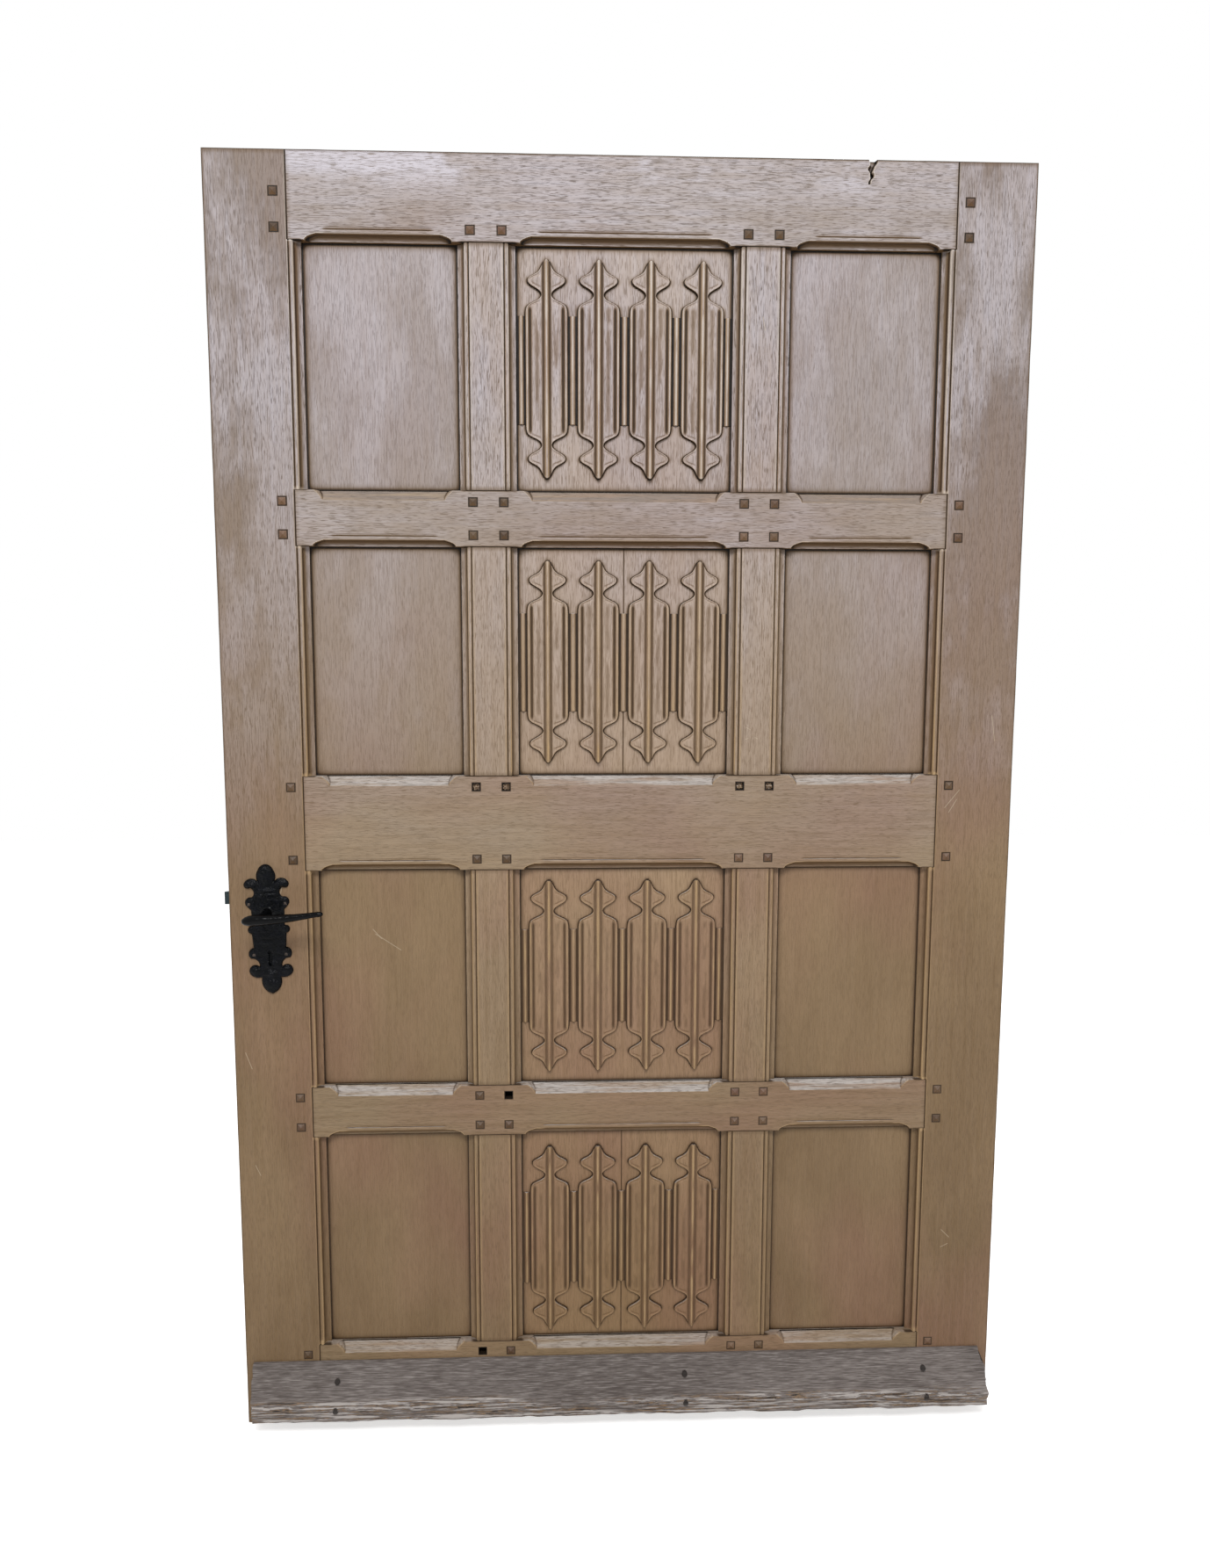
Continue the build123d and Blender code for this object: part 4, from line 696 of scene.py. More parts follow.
# Lock parts: grey filed steel, darker on the bolt that shows at the edge
STEEL = metal("filed_lock_steel", "#5D6365", "#7C8284", 0.32, 1.0, 2.5, 0.3)
LATCH_STEEL = metal("dark_latch_steel", "#20292B", "#334043", 0.35, 0.8, 2.5, 0.35)
SPRING_STEEL = metal("blued_spring_steel", "#303A52", "#4A5670", 0.22, 1.0, 4.0, 0.12)
# The first word that a CAD node's name holds gives its finish; the rest is oak
FINISHES = {
    "backplate": IRON, "plate_nails": NAIL_IRON, "board_nails": NAIL_IRON, "spring": SPRING_STEEL,
    "latch_bolt": LATCH_STEEL, "lever": LEVER_IRON, "pegs": PEG_OAK, "lock_case": STEEL,
    "lock_cover": STEEL, "forend": STEEL, "follower": STEEL, "spindle": STEEL, "deadbolt": STEEL,
}
for node_name, cad_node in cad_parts.items():
    node_finish = next((finish for word, finish in FINISHES.items() if word in node_name), UPRIGHT_OAK)
    for slot in cad_node.material_slots:
        slot.material = node_finish


# Heights of the forend, the latch and the deadbolt, and depths at which the pocket behind them steps
FOREND = (792.0, 982.0)
BOLT_SPANS = ((917.5, 939.5), (812.0, 868.0))
POCKET_LEVELS = (-11.4, -11.3, -7.1, -7.0, 7.0, 7.1, 11.3, 11.4)


def forend_pocket(y, z):
    """Pocket in the lock stile's edge under the forend, deeper behind the latch and the deadbolt."""
    inset = np.where((z > FOREND[0] - 0.3) & (z < FOREND[1] + 0.3) & (abs(y) < 11.35), 3.4, 0.0)
    for low, high in BOLT_SPANS:
        inset = np.where((z > low) & (z < high) & (abs(y) < 7.05), 16.0, inset)
    return inset


# Half length of a rail behind its lap, where the stiles' moulding covers it
RAIL_REAR = 504.8


def stile_soil(side):
    """Dark lines on a stile: against the rails' shoulders, round the pegs, and on the outer arrises."""

    def soil(x, z):
        joint = 0.9 * np.exp(-np.abs(side * x - SHOULDER) / 0.9) * beside_rail(z, 0.15)
        arris = 0.6 * np.exp(-np.minimum(HALF_WIDTH - side * x, LEAF_HEIGHT - z) / 1.5)
        pegs = peg_soil(x, z, (side * STILE_PEG_X,), STILE_PEG_LEVELS)
        return np.maximum(np.maximum(joint, arris), pegs)

    return soil


def rail_soil(name):
    """Dark lines on a rail: along its shoulders, where muntins meet it, round the pegs, and along
    the leaf's top edge."""
    low, high = RAILS[name]
    joined = [edge for edge in (low, high) if 0 < edge < LEAF_HEIGHT]

    def soil(x, z):
        total = 0.9 * np.exp(-(SHOULDER - np.abs(x)) / 0.9)
        crossed = np.abs(x) > OPENING_EDGE
        for centre in MUNTINS.values():
            crossed = crossed | (np.abs(x - centre) < MUNTIN_HALF)
        for edge in joined:
            total = np.maximum(total, 0.8 * np.exp(-np.abs(z - edge) / 0.9) * crossed)
        total = np.maximum(total, 0.6 * np.exp(-(LEAF_HEIGHT - z) / 1.5))
        return np.maximum(total, peg_soil(x, z, MUNTIN_PEG_X, PEG_LEVELS[name]))

    return soil


def make_stiles():
    """Two stiles, fine across the moulding, at the pegs and beside every rail."""
    for key, side, seed in (("stile_lock", -1, 20), ("stile_hinge", 1, 30)):
        across = ticks(*[(OPENING_EDGE + a, OPENING_EDGE + b, s) for a, b, s in MOULD_TICKS],
                       (OPENING_EDGE + MOULD_WIDTH + 0.6, 646, 7.0), (646, HALF_WIDTH, 0.6),
                       (SHOULDER, SHOULDER + 3, 0.6),
                       *peg_edges(STILE_PEG_X), *([(582, 592, 1.0)] if side < 0 else []))
        xs = np.sort(side * across)
        edges = [z for span in RAILS.values() for z in span]
        stretches = [(0, LEAF_HEIGHT, 9.0), *ends(0, LEAF_HEIGHT, 2, 0.5)]
        stretches += [(max(z - 0.2, 0), min(z + 0.2, LEAF_HEIGHT), 0.2) for z in edges]
        for level in STILE_PEG_LEVELS:
            stretches += peg_edges(level)
        if side < 0:
            stretches.append((814, 850, 1.0))
            for z in (FOREND[0] - 0.3, FOREND[1] + 0.3, *BOLT_SPANS[0], *BOLT_SPANS[1]):
                stretches.append((z - 0.1, z + 0.1, 0.2))
        worn_board(key, UPRIGHT_OAK, "oak_frame", xs, ticks(*stretches), stile_depth(side, seed), BACK,
                   soil=stile_soil(side), pocket=forend_pocket if side < 0 else None)


def make_rails():
    """Five rails, fine along the ears, hollows and edges."""
    for order, (key, (low, high)) in enumerate(RAILS.items()):
        stretches = [(-SHOULDER, SHOULDER, 9.0), *ends(-SHOULDER, SHOULDER, 2, 0.5)]
        for x0, x1 in OPENINGS.values():
            stretches += ends(x0 + 5, x1 - 5, 41, 1.2)
        holes = MISSING_PEGS.get(key, []) + BROKEN_PEGS.get(key, [])
        stretches += [(x - 6.5, x + 6.5, 0.5) for x, _ in holes]
        for x in MUNTIN_PEG_X:
            stretches += peg_edges(x)
        levels = [(low, high, 5.0), *ends(low, high, 2, 0.4)]
        if key != "bottom":
            levels.append((low, low + 21, 0.7))
        if key != "top":
            levels.append((high - 19, high, 0.8))
        levels += [(z - 6.5, z + 6.5, 0.5) for _, z in holes]
        for level in PEG_LEVELS[key]:
            levels += peg_edges(level)
        if key == "top":
            stretches.append((SPLIT_X - 13, SPLIT_X + 9, 0.6))
            levels.append((high - SPLIT_LENGTH - 2, high, 1.2))
        worn_board(f"rail_{key}", LEVEL_OAK, "oak_frame", ticks(*stretches), ticks(*levels),
                   rail_depth(key, 40 + 9 * order), BACK, soil=rail_soil(key), rear_width=RAIL_REAR)


def make_muntins():
    """Eight muntins, moulded on both edges."""
    for place_key, centre in MUNTINS.items():
        for order, (row, (low, high)) in enumerate(ROWS.items()):
            across = ticks(*MOULD_TICKS, (MOULD_WIDTH + 0.6, MUNTIN_HALF, 6.0))
            xs = np.unique(np.concatenate([centre - MUNTIN_HALF + across, centre + MUNTIN_HALF - across]))
            zs = ticks((low, high, 9.0), *ends(low, high, 1.2, 0.4))
            seed = 100 + 7 * order + (50 if centre > 0 else 0)
            worn_board(f"muntin_{place_key}_{row}", MUNTIN_OAK, "oak_frame", xs, zs,
                       muntin_depth(centre, low, high, seed), BACK,
                       soil=lambda x, z, low=low, high=high: 0.8 * np.exp(-within(z, low, high) / 0.9))


def panel_soil(x0, x1, low, high):
    """Dirt and painted shade along the edges of an opening, most of it the painted shadow under the rail
    above.
    """

    def soil(x, z):
        side = within(x, x0, x1)
        edges = ((side, 0.95), (high - z, 1.0), (z - low, 0.75))
        edges = [(np.clip(gap, 0, None), share) for gap, share in edges]
        return sum(share * np.exp(-gap / 2.3) + 0.12 * np.exp(-gap / 9.0) for gap, share in edges)

    return soil


def make_plain_panels():
    """Eight flat panels, slightly uneven, running under the frame on all sides."""
    for place_key in ("left", "right"):
        x0, x1 = OPENINGS[place_key]
        for order, (row, (low, high)) in enumerate(ROWS.items()):
            seed = 200 + 11 * order + (60 if x0 > 0 else 0)

            def depth(x, z, seed=seed):
                return PANEL_DEPTH + 1.2 * undulation(x, z, False, seed)

            xs = ticks((x0 - TONGUE, x1 + TONGUE, 9.0), *ends(x0, x1, 12, 1.5))
            zs = ticks((low - TONGUE, high + TONGUE, 12.0), *ends(low, high, 12, 1.5))
            worn_board(f"plain_panel_{place_key}_{row}", PANEL_OAK, "oak_panel", xs, zs, depth,
                       PANEL_BACK, arris=0.5, soil=panel_soil(x0, x1, low, high))


# Half width of a fold against the distance from its tip
FOLD_ENDS = np.array([
    (1.6, 0), (4.2, 2), (7.2, 7.4), (9.6, 13), (13.6, 18), (19.8, 21.6), (25.2, 23.8), (28.9, 26.8),
    (29.8, 31.4), (27.4, 35.6), (20.8, 39.6), (14.4, 43), (9.4, 47), (7.4, 50.6), (8.1, 54.4),
    (11.9, 58.8), (19.4, 62.4), (25.6, 65), (30, 68), (31.9, 72), (33, 79.4)])
# Height of a fold against the distance from its middle, and of a strip against the share of its half width
FOLD_SECTION = ((0, 9.2), (5, 4.4), (10.5, 5.9), (21, 5.5), (26.2, 3.2), (30.8, 6.4), (33, 5.4))
STRIP_SECTION = ((0, 4.4), (0.5, 1.3), (0.72, 1.3), (1, 2.4))
FOLD_PITCH = 82.6
FOLD_HALF = 33.0
# Where the strips begin, from the folds' tips
STRIP_FROM_TIP = 83.4


def eased(value, knots):
    """Heights joined from knot to knot by half cosine waves."""
    at, heights = np.array(knots, float).T
    k = np.clip(np.searchsorted(at, value, "right") - 1, 0, len(at) - 2)
    t = np.clip((value - at[k]) / (at[k + 1] - at[k]), 0, 1)
    return heights[k] + (heights[k + 1] - heights[k]) * (1 - np.cos(np.pi * t)) / 2


def fold_half(run):
    """Half width of a fold at a distance from its tip: the measured outline, softly averaged."""
    reach = np.clip((run - 1.0) / 4, 0, 2.2)
    return sum(np.interp(run + share * reach, FOLD_ENDS[:, 1], FOLD_ENDS[:, 0])
               for share in (-1.0, -0.5, 0.0, 0.5, 1.0)) / 5


def carving(shape, x, z, height, wear, dirt_and_shade):
    """Raised carving on a panel: its surface, a wall all round down into the ground, and a flat back."""
    x, z, wear, dirt_and_shade = (np.broadcast_to(a, height.shape) for a in (x, z, wear, dirt_and_shade))
    edge = rim(shape.grid(np.stack([x, PANEL_FRONT - height, z], -1), wear, dirt_and_shade))
    # Full dirt and painted shade at the foot of the wall, the shadow where the carving meets the ground
    foot = shape.ring(rim(x), PANEL_FRONT + 1.0, rim(z), 0.0, 1.0)
    shape.band(edge, foot)
    shape.cap(foot[::-1])


def fold(shape, centre, low, high, seed):
    """One fold: a crest between two hollows, bands and edge arrises, cut to the lobed outline."""
    runs = ticks((0, 12, 0.8), (12, 80, 1.2), (80, (high - low) / 2, 5.0))
    level = np.concatenate([low + runs, (high - runs)[::-1][1:]])
    share = ticks((0, 0.30, 0.03), (0.30, 0.75, 0.05), (0.75, 1, 0.025))
    share = np.concatenate([-share[::-1], share[1:]])
    run = within(level, low, high)
    half = fold_half(run)
    lean = 1 / np.sqrt(1 + np.gradient(half, level) ** 2)
    across = share[:, None] * half
    z = np.broadcast_to(level, across.shape)
    off = np.abs(across)
    from_edge = (half - off) * lean
    ragged = lattice(across, z, 5, 26, seed)
    height = eased(off, FOLD_SECTION)
    lobe = smooth((off - 6.5) / 5) * (run < 79.0)
    dished = 5.5 - 1.3 * hump(from_edge, 3.6, 2.2)
    height = height + lobe * smooth((79 - run) / 14) * (dished - height)
    height = height - rounding(from_edge, 1.1) + 0.15 * ragged
    worn_crest = hump(across, 0, 2.0)
    height = height - 0.9 * worn_crest * np.clip(lattice(across, z, 40, 22, seed + 1), 0, 1)
    body = smooth((run - 66) / 10)
    wear = worn_crest * (0.44 + 0.40 * ragged)
    wear = wear + body * hump(off, 30.6, 1.3) * (0.30 + 0.25 * ragged)
    wear = wear + 0.22 * hump(from_edge, 1.2, 0.9) * (1 - body)
    # Dirt and painted shade in the fold's two hollows, patchy on the broad band
    dirt_and_shade = 0.40 * hump(off, 5.2, 2.2)
    dirt_and_shade = dirt_and_shade + 0.50 * body * hump(off, 26.2, 2.4)
    dirt_and_shade = dirt_and_shade + 0.20 * body * hump(off, 15, 4.0) * np.clip(1 + 2 * ragged, 0, 1)
    carving(shape, centre + across, z, height, wear, dirt_and_shade)


def strip(shape, centre, half, low, high, seed):
    """Low strip between two folds: a round bead between two hollows, with cut ends."""
    level = ticks((low, high, 7.0), *ends(low, high, 3, 0.6))
    across = np.linspace(-half, half, 25)[:, None]
    z = np.broadcast_to(level, (25, len(level)))
    height = eased(np.abs(across / half), STRIP_SECTION) - rounding(within(z, low, high), 0.9)
    ragged = lattice(across, z, 5, 26, seed)
    wear = hump(across, 0, 1.7) * (0.46 + 0.28 * ragged)
    # Dirt and painted shade in the strip's hollows beside its bead
    dirt_and_shade = 0.62 * smooth((np.abs(across / half) - 0.28) / 0.3)
    carving(shape, centre + across, z, height + 0.1 * ragged, wear, dirt_and_shade)


def make_carved_panels():
    """Four carved panels: a flat ground, four folds, and strips between and beside them."""
    x0, x1 = OPENINGS["middle"]
    centres = [step * FOLD_PITCH for step in (-1.5, -0.5, 0.5, 1.5)]
    outer = 1.5 * FOLD_PITCH + FOLD_HALF
    for order, (row, (bottom, top)) in enumerate(ROWS.items()):
        drop = 6.0 if row == "row_4" else 0.0
        low, high = bottom + 21.5 - drop, top - 21.5 - drop
        cracked = row in ("row_2", "row_4")
        edge_soil = panel_soil(x0, x1, bottom, top)

        def ground(x, z, seed=300 + order, cracked=cracked):
            crack = 1.3 * np.clip(1 - np.abs(x - 0.3 * np.sin(z / 17)) / 0.8, 0, 1) * cracked
            uneven = undulation(x, z, False, seed)
            return PANEL_DEPTH + uneven + 0.15 * lattice(x, z, 7, 60, seed + 40) + crack

        # Dirt and painted shade at the opening's edges, a painted shadow round each fold's outline, and a
        # dark crack
        def soil(x, z, low=low, high=high, edge_soil=edge_soil, cracked=cracked):
            run = within(z, low, high)
            total = edge_soil(x, z)
            for centre in centres:
                gap = np.abs(x - centre) - fold_half(np.clip(run, 0, None))
                gap = np.hypot(np.clip(gap, 0, None), np.clip(-run, 0, None))
                total = np.maximum(total, 0.85 * np.exp(-gap / 1.3) + 0.12 * np.exp(-gap / 7))
            return np.maximum(total, 0.7 * np.exp(-np.abs(x) / 0.7) * cracked)

        shape = Shape()
        xs = ticks((x0 - TONGUE, x1 + TONGUE, 2.4), (-2, 2, 0.5))
        zs = ticks((bottom - TONGUE, top + TONGUE, 9.0), (bottom, low + 84, 2.4), (high - 84, top, 2.4))
        board(shape, xs, zs, ground, PANEL_BACK, arris=0.5, soil=soil)
        for step, centre in enumerate(centres):
            fold(shape, centre, low, high, 400 + 10 * order + step)
        gap = FOLD_PITCH / 2 - FOLD_HALF
        strip_span = (low + STRIP_FROM_TIP, high - STRIP_FROM_TIP)
        for step in (-1, 0, 1):
            strip(shape, step * FOLD_PITCH, gap + 0.4, *strip_span, 500 + step)
        margin = x1 - outer - 1.0
        for side in (-1, 1):
            strip(shape, side * (outer + margin / 2), margin / 2 + 0.4, *strip_span, 520 + side)
        key = f"linenfold_panel_{row}"
        place(shape, key + "_carved", key, CARVED_OAK, sharp=50)


BOARD_LEFT, BOARD_RIGHT = -638.0, 640.0
BOARD_NAIL_X = (-490.0, 109.0, 529.0)
BOARD_NAILS = [(x, z) for x in BOARD_NAIL_X for z in (50.0, 87.0)]


def make_weather_board():
    """Weather board: its section carried along X, eaten away along the grain and ragged at the ends."""
    corners = np.array([(-24, 33), (-24, 113), (-28, 113), (-70, 53), (-70, 33)], float)
    stretches = ((0, 1, 2), (1, 2, 2), (2, 3, 58), (3, 4, 16), (4, 0, 6))
    section = np.concatenate([
        corners[a] + np.linspace(0, 1, count, endpoint=False)[:, None] * (corners[b] - corners[a])
        for a, b, count in stretches])
    y, z = section.T
    tangent = np.roll(section, -1, 0) - np.roll(section, 1, 0)
    inward = np.stack([tangent[:, 1], -tangent[:, 0]], 1) / np.linalg.norm(tangent, axis=1)[:, None]
    inward[:5] = 0.0
    x = ticks((BOARD_LEFT, BOARD_RIGHT, 4.0), *[(cx - 7, cx + 7, 0.9) for cx in BOARD_NAIL_X])
    level = np.broadcast_to(z[:, None], (len(z), len(x)))
    along = np.broadcast_to(x, level.shape)
    seen = (y < -27.9)[:, None]
    low = smooth((74 - level) / 22)
    fibres = lattice(along, level, 70, 2.4, 601) * 0.5 + lattice(along, level, 24, 1.5, 602) * 0.4
    eaten = 0.35 + 0.45 * np.abs(fibres) * (0.4 + 2.2 * low)
    eaten = eaten + low * 3.4 * np.clip(lattice(along, level, 95, 9, 603) - 0.05, 0, 1)
    nose = hump(level, 53, 5) + 0.8 * hump(level, 33, 3) * (y < -60)[:, None]
    eaten = eaten + nose * (1.6 + 1.3 * lattice(along, level, 16, 50, 604))
    hole = np.zeros(level.shape)
    for cx, cz in BOARD_NAILS:
        reach = np.hypot(along - cx, level - cz)
        hole = np.maximum(hole, smooth((5.2 - reach) / 1.2))
    eaten = (eaten * (1 - hole) + 4.4 * hole) * seen
    chipped = 7.0 * smooth((level - 92) / 14) + 2.2 * (1 + lattice(level, level, 6, 50, 605))
    left_end = 2.5 * (1 + lattice(level, level, 5, 50, 606)) + 4.0 * low
    share = (along - BOARD_LEFT) / (BOARD_RIGHT - BOARD_LEFT)
    near_right = smooth((share - 0.94) / 0.06)
    near_left = smooth((0.04 - share) / 0.04)
    placed_x = along - near_right * chipped + near_left * left_end
    points = np.stack([placed_x, y[:, None] + inward[:, :1] * eaten, z[:, None] + inward[:, 1:] * eaten], -1)
    shape = Shape()
    wear = 0.12 + low * (0.62 + 0.4 * lattice(along, level, 120, 14, 607)) + 0.1 * fibres
    dirt_and_shade = np.maximum(0.9 * hole, 0.25 * near_right * smooth((level - 60) / 30))
    shape.tube(points, wear, dirt_and_shade)
    place(shape, "weather_board_worn", "weather_board", GREY_OAK, sharp=50)


# Handle: plate and lever of the show face

SPINDLE = (-587.0, 908.0)
# Half width of the plate, its reach above and below the spindle, and its keyhole's height
PLATE_HALF, PLATE_RISE, PLATE_DROP = 35.0, 81.0, 137.5
KEY_Z = -68.0
# Degrees by which the plate and the levers lean, and the arms' distance from the leaf's middle
PLATE_TILT = 1.6
LEVER_TILT = 5.2
LEVER_REACH = 78.0


def about_spindle(across, up, tilt):
    """Place on the leaf of a point measured from the spindle: turned by an angle, then moved there."""
    c, s = math.cos(math.radians(tilt)), math.sin(math.radians(tilt))
    return SPINDLE[0] + across * c - up * s, SPINDLE[1] + across * s + up * c


# Runs of the plate's outline, from its top bud down the right side: each is a scale for heights and
# points as shares of half the width and of that height, and every second point ends an arc
PLATE_RUNS = (
    (PLATE_RISE, (
        (0, 1), (0.20, 0.97), (0.36, 0.877), (0.45, 0.753), (0.385, 0.642), (0.69, 0.71), (1, 0.642),
        (1, 0.531), (0.77, 0.519), (0.60, 0.42), (0.73, 0.321), (1, 0.272), (0.97, 0.148),
        (0.87, 0.10), (0.757, 0.05))),
    (-PLATE_DROP, ((0.757, 0.16), (0.986, 0.207), (0.757, 0.255))),
    (-PLATE_DROP, (
        (0.757, 0.429), (1, 0.48), (0.914, 0.56), (0.614, 0.589), (0.529, 0.669), (0.943, 0.662),
        (0.971, 0.756), (0.743, 0.793), (0.443, 0.793), (0.40, 0.916), (0, 1))),
)


def plate_outline():
    """Outline of the plate about the spindle: arcs for buds, leaves, curls and waist, mirrored."""
    parts = []
    for rise, shares in PLATE_RUNS:
        points = [(half_share * PLATE_HALF, share * rise) for half_share, share in shares]
        parts += [arc_through(*points[k:k + 3], 13)[:-1] for k in range(0, len(points) - 2, 2)]
    right = np.concatenate(parts + [[(0.0, -PLATE_DROP)]])
    left = right[-2:0:-1] * (-1, 1)
    return np.concatenate([right, left])


def outline_distance(points, outline):
    """Distance of each point from the nearest side of a closed outline."""
    start = outline[None]
    side = np.roll(outline, -1, 0)[None] - start
    offset = points[:, None] - start
    t = np.clip((offset * side).sum(-1) / np.maximum((side**2).sum(-1), 1e-9), 0, 1)
    return np.linalg.norm(offset - t[..., None] * side, axis=-1).min(1)


# Swells of the plate about the spindle: distance to both sides, height, half sizes and rise
PLATE_SWELLS = (
    (0, 66, 12, 15, 4.2), (25, 47, 9, 6, 2.8), (0, 37, 17, 3.0, 2.6), (0, 30, 20, 2.2, 1.8),
    (28, 15, 6, 7, 1.6), (0, 12, 18, 16, 1.6), (29, -28, 5, 5, 1.4), (0, -48, 17, 20, 0.9),
    (28, -67, 6, 6, 1.6), (0, -86, 14, 4, 2.0), (26, -97, 8, 6, 2.4), (0, -103, 9, 4, 2.4),
    (0, -120, 11, 14, 3.6),
)
PLATE_NAILS = ((29.5, 15), (26.5, -70.5))


def plate_height(x, z, from_edge):
    """Height of the plate's front: a rounded rim, swells for buds, leaves and bands, hammer marks,
    and a sunk keyhole."""
    height = 1.6 + 1.4 * np.sqrt(1 - (1 - np.clip(from_edge / 3.0, 0, 1)) ** 2)
    swell = sum(1.5 * h * np.exp(-((x - side * cx) / wx) ** 2 * 0.9 - ((z - cz) / wz) ** 2 * 0.9)
                for cx, cz, wx, wz, h in PLATE_SWELLS for side in ((1, -1) if cx else (1,)))
    vein = 0.9 * hump(x, 0, 1.6) * (hump(z, 66, 12) + hump(z, -120, 12))
    hammered = 0.45 * lattice(x, z, 5.0, 5.0, 700) + 0.25 * lattice(x, z, 2.2, 2.2, 701)
    nails = sum(np.exp(-(((np.abs(x) - nx) ** 2 + (z - nz) ** 2) / 16)) for nx, nz in PLATE_NAILS)
    height = height + smooth(from_edge / 4.0) * (swell + hammered - vein) * (1 - np.clip(nails, 0, 1))
    border = 0.8 * hump(from_edge, 2.4, 1.2) * (z < -20) * (z > -62)
    key = np.where(z > KEY_Z - 2, np.hypot(x, z - KEY_Z) - 3.8, np.abs(x) - 2.1)
    key = np.where(z < KEY_Z - 21, 3.0, key)
    raised = 0.9 * hump(key, 2.2, 1.3)
    return np.where(key < 0, -9.0, height + border + raised)


def inside_outline(points, outline):
    """Whether points lie inside a closed outline: a line to their right crosses it an odd number
    of times."""
    start, end = outline, np.roll(outline, -1, 0)
    crosses = (start[None, :, 1] > points[:, None, 1]) != (end[None, :, 1] > points[:, None, 1])
    rise = np.where(np.abs(end[:, 1] - start[:, 1]) < 1e-9, 1e-9, end[:, 1] - start[:, 1])
    meets = start[None, :, 0] + (points[:, None, 1] - start[None, :, 1]) / rise * (end - start)[None, :, 0]
    return ((crosses & (points[:, None, 0] < meets)).sum(1) % 2) == 1


def make_plate():
    """Front plate: points inside the outline joined to it in triangles, domed by their distance
    from the edge, with a wall down to the stile and a flat back."""
    outline = plate_outline()
    x, z = np.meshgrid(np.arange(-35, 35.5, 1.1), np.arange(-137, 81, 1.1), indexing="ij")
    x = x + 0.55 * (np.arange(x.shape[1]) % 2)
    inner = np.stack([x.ravel(), z.ravel()], 1)
    fine_levels = np.arange(KEY_Z - 24, KEY_Z + 7, 0.5)
    fine_x, fine_z = np.meshgrid(np.arange(-6, 6.1, 0.5), fine_levels, indexing="ij")
    near_key = (np.abs(inner[:, 0]) < 6.4) & (inner[:, 1] > KEY_Z - 24.4) & (inner[:, 1] < KEY_Z + 7.4)
    inner = np.concatenate([inner[~near_key], np.stack([fine_x.ravel(), fine_z.ravel()], 1)])
    inner = inner[inside_outline(inner, outline)]
    inner = inner[outline_distance(inner, outline) > 0.6]
    flat = np.concatenate([outline, inner])
    count = len(outline)
    edges = [(i, (i + 1) % count) for i in range(count)]
    joined, _, faces = delaunay_2d_cdt([Vector(p) for p in flat.tolist()], edges, [], 1, 1e-5)[:3]
    flat = np.array([tuple(p) for p in joined])
    faces = np.array(faces)
    from_edge = outline_distance(flat, outline)
    height = plate_height(flat[:, 0], flat[:, 1], from_edge)
    turned_x, turned_z = about_spindle(flat[:, 0], flat[:, 1], PLATE_TILT)
    shape = Shape()
    front = shape.add_points(np.stack([turned_x, FACE - height, turned_z], 1))
    a, b, c = (flat[faces[:, k]] for k in range(3))
    turn = (b - a)[:, 0] * (c - a)[:, 1] - (b - a)[:, 1] * (c - a)[:, 0]
    faces = np.where((turn < 0)[:, None], faces[:, ::-1], faces)
    shape.add_faces(front[faces])
    foot = shape.ring(turned_x[:count], FACE + 0.3, turned_z[:count])
    shape.band(foot, front[:count])
    shape.cap(foot)
    place(shape, "handle_plate", "backplate_front", IRON, sharp=60)


# Radius of the lever's arm along its length, from the spindle
ARM = ((-29, 2.6), (-27.8, 4.6), (-24, 6.8), (-17, 8.8), (-6, 9.2), (8, 8.9), (25, 7.8), (45, 6.6),
       (70, 5.2), (86, 4.4), (93, 4.5), (98, 3.9), (100.3, 2.4), (101, 1.0))


def lever_surface(shape, face_side):
    """Lever of one face: circles carried along a slightly bowed line, and the neck as circles
    carried out from the plate."""
    along = ticks((-29, -24, 0.8), (-24, 90, 3.0), (90, 101, 0.8))
    stations, radii = np.array(ARM, float).T
    radius = np.interp(along, stations, radii)
    turn = np.linspace(0, 2 * np.pi, 33)[:-1]
    bow = 1.6 * np.sin(np.pi * np.clip((along + 5) / 95, 0, 1))
    beaten = 1 - 0.05 * np.abs(lattice(along, turn[:, None] * 9, 9, 7, 710))
    across = radius * beaten * np.sin(turn)[:, None]
    out = radius * beaten * np.cos(turn)[:, None]
    x, z = about_spindle(along, across - bow, LEVER_TILT)
    shape.tube(np.stack([x, face_side * (LEVER_REACH + out), z], -1), flip=face_side < 0)
    reach = ticks((27.2, 34, 1.2), (34, LEVER_REACH, 6.0))
    neck = 7.5 + 5.5 * hump(reach, 27.2, 2.6) + 0.9 * hump(reach, 36, 1.8)
    ring_x = SPINDLE[0] + np.cos(turn)[:, None] * neck
    ring_z = SPINDLE[1] + np.sin(turn)[:, None] * neck
    ring_y = np.broadcast_to(face_side * reach, ring_x.shape)
    shape.tube(np.stack([ring_x, ring_y, ring_z], -1), flip=face_side > 0)


def make_levers():
    """Forged levers of both faces."""
    for key, face_side in (("lever_front", -1), ("lever_rear", 1)):
        shape = Shape()
        lever_surface(shape, face_side)
        place(shape, key + "_forged", key, LEVER_IRON, "handle", 60)


make_stiles()
make_rails()
make_muntins()
make_plain_panels()
make_carved_panels()
make_weather_board()
make_plate()
make_levers()


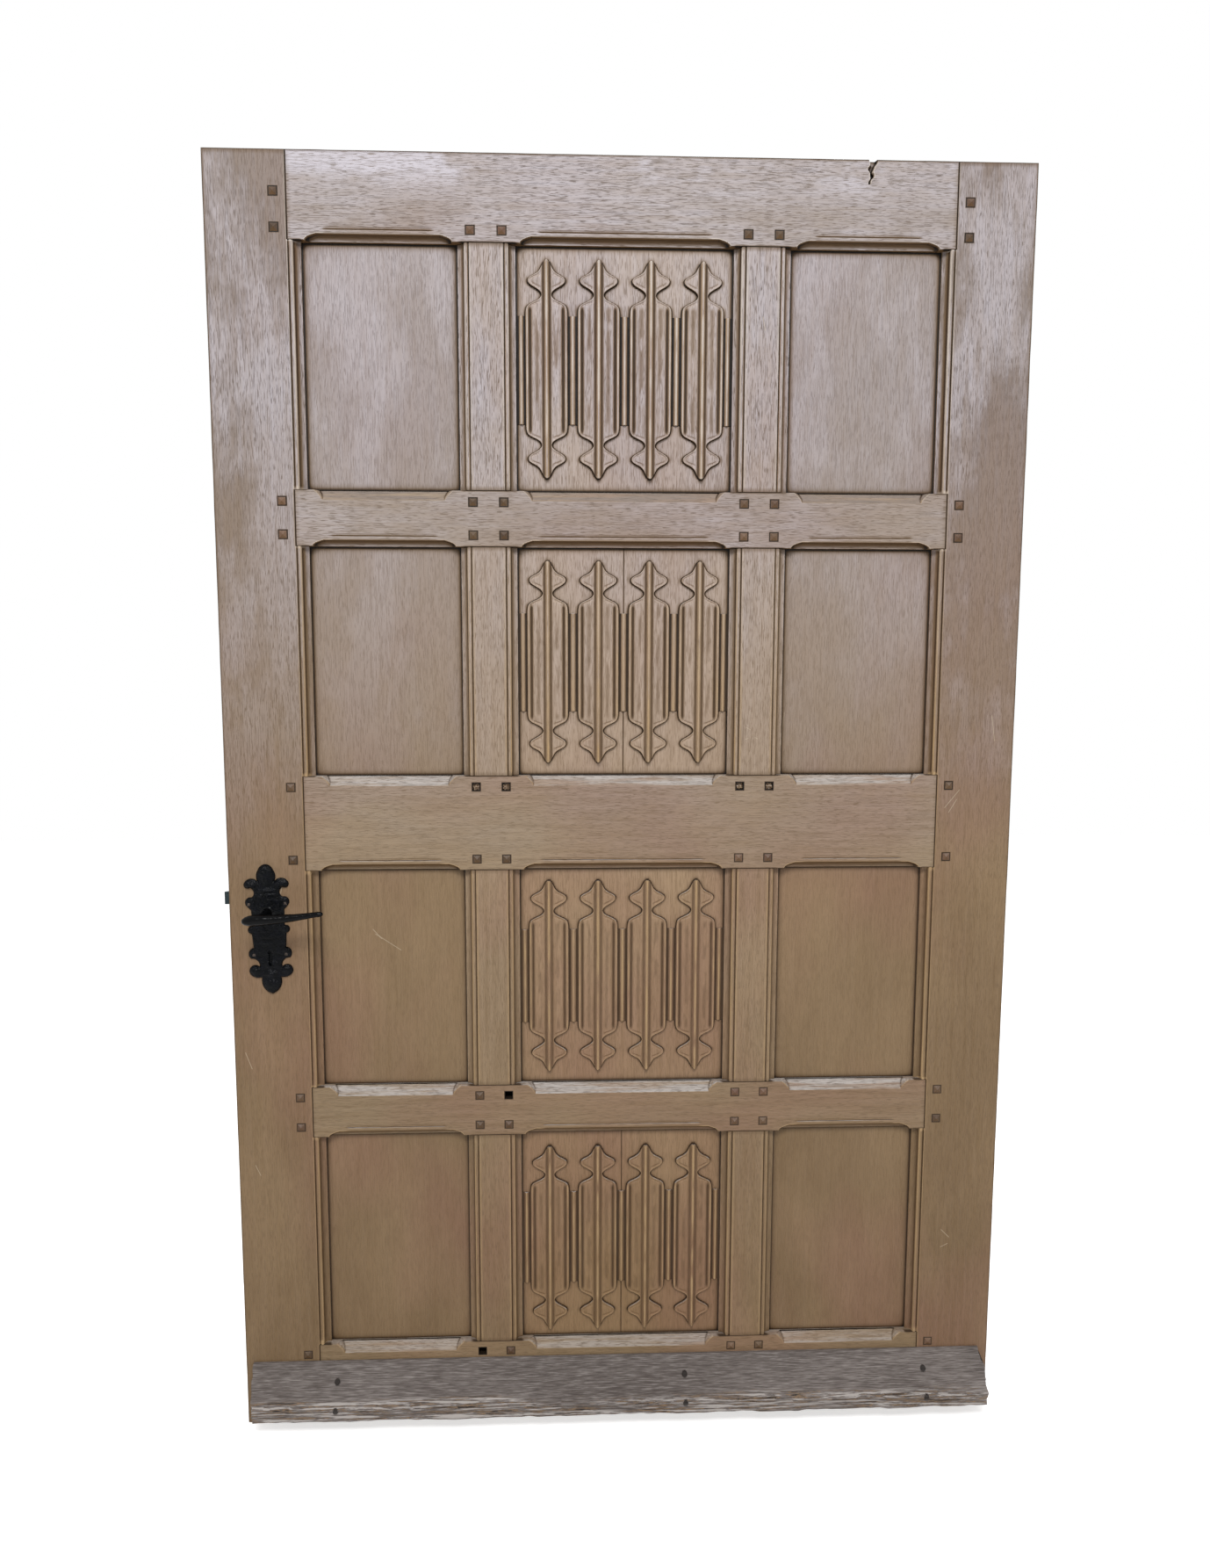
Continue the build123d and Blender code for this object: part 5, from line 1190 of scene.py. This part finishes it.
def place_camera():
    """Camera where the photograph was taken from, at a little over head height."""
    data = bpy.data.cameras.new("camera")
    data.lens = 27.045
    data.sensor_fit = "VERTICAL"
    data.sensor_height = 36.0
    camera = in_scene("camera", data)
    camera.location = (-0.1098, -1.9490, 1.3577)
    camera.rotation_euler = [math.radians(a) for a in (82.958, -0.110, -2.347)]
    bpy.context.scene.camera = camera


def area_light(name, spot, aim, size, power):
    """Rectangular lamp at a spot, turned to a point."""
    data = bpy.data.lights.new(name, "AREA")
    data.shape = "RECTANGLE"
    data.size, data.size_y = size
    data.energy = power
    lamp = in_scene(name, data)
    lamp.location = spot
    lamp.rotation_euler = Vector(np.array(aim) - np.array(spot)).to_track_quat("-Z", "Y").to_euler()


def seen_white(tree):
    """1 for rays that show the background: from the camera, or from a glossy or clear surface."""
    path = add(tree, "LightPath")
    share = path.outputs["Is Camera Ray"]
    for kind in ("Is Glossy Ray", "Is Transmission Ray"):
        share = add(tree, "Math", (share, path.outputs[kind]), operation="MAXIMUM")
    return share


def studio():
    """Pale surroundings that show white, under plain soft light from above."""
    world = bpy.data.worlds.new("studio")
    bpy.context.scene.world = world
    world.use_nodes = True
    tree = world.node_tree
    tree.nodes.clear()
    soft, white = (add(tree, "Background", ("#FFFFFF", strength)) for strength in (0.42, 1.0))
    mix = add(tree, "MixShader", (seen_white(tree), soft, white))
    add(tree, "OutputWorld", (mix,))
    area_light("sky", (-0.2, -3.3, 4.3), (0, 0, 1.1), (2.2, 1.2), 152)
    area_light("rear_fill", (0.6, 3.3, 3.6), (0, 0, 1.1), (2.2, 1.2), 90)


def floor():
    """Floor that reads white and keeps the leaf's soft shadow."""
    material, tree = new_material("pale_floor")
    shader = add(tree, "BsdfDiffuse", ("#F4F4F4",))
    glow = add(tree, "Emission", ("#FFFFFF", 0.62))
    both = add(tree, "AddShader", (shader, glow))
    mix = add(tree, "MixShader", (seen_white(tree), shader, both))
    add(tree, "OutputMaterial", (mix,))
    mesh = bpy.data.meshes.new("floor")
    mesh.from_pydata([(-6, -6, 0), (6, -6, 0), (6, 6, 0), (-6, 6, 0)], [], [(0, 1, 2, 3)])
    mesh.materials.append(material)
    in_scene("floor", mesh)


place_camera()
studio()
floor()
bpy.context.scene.view_settings.view_transform = "Standard"
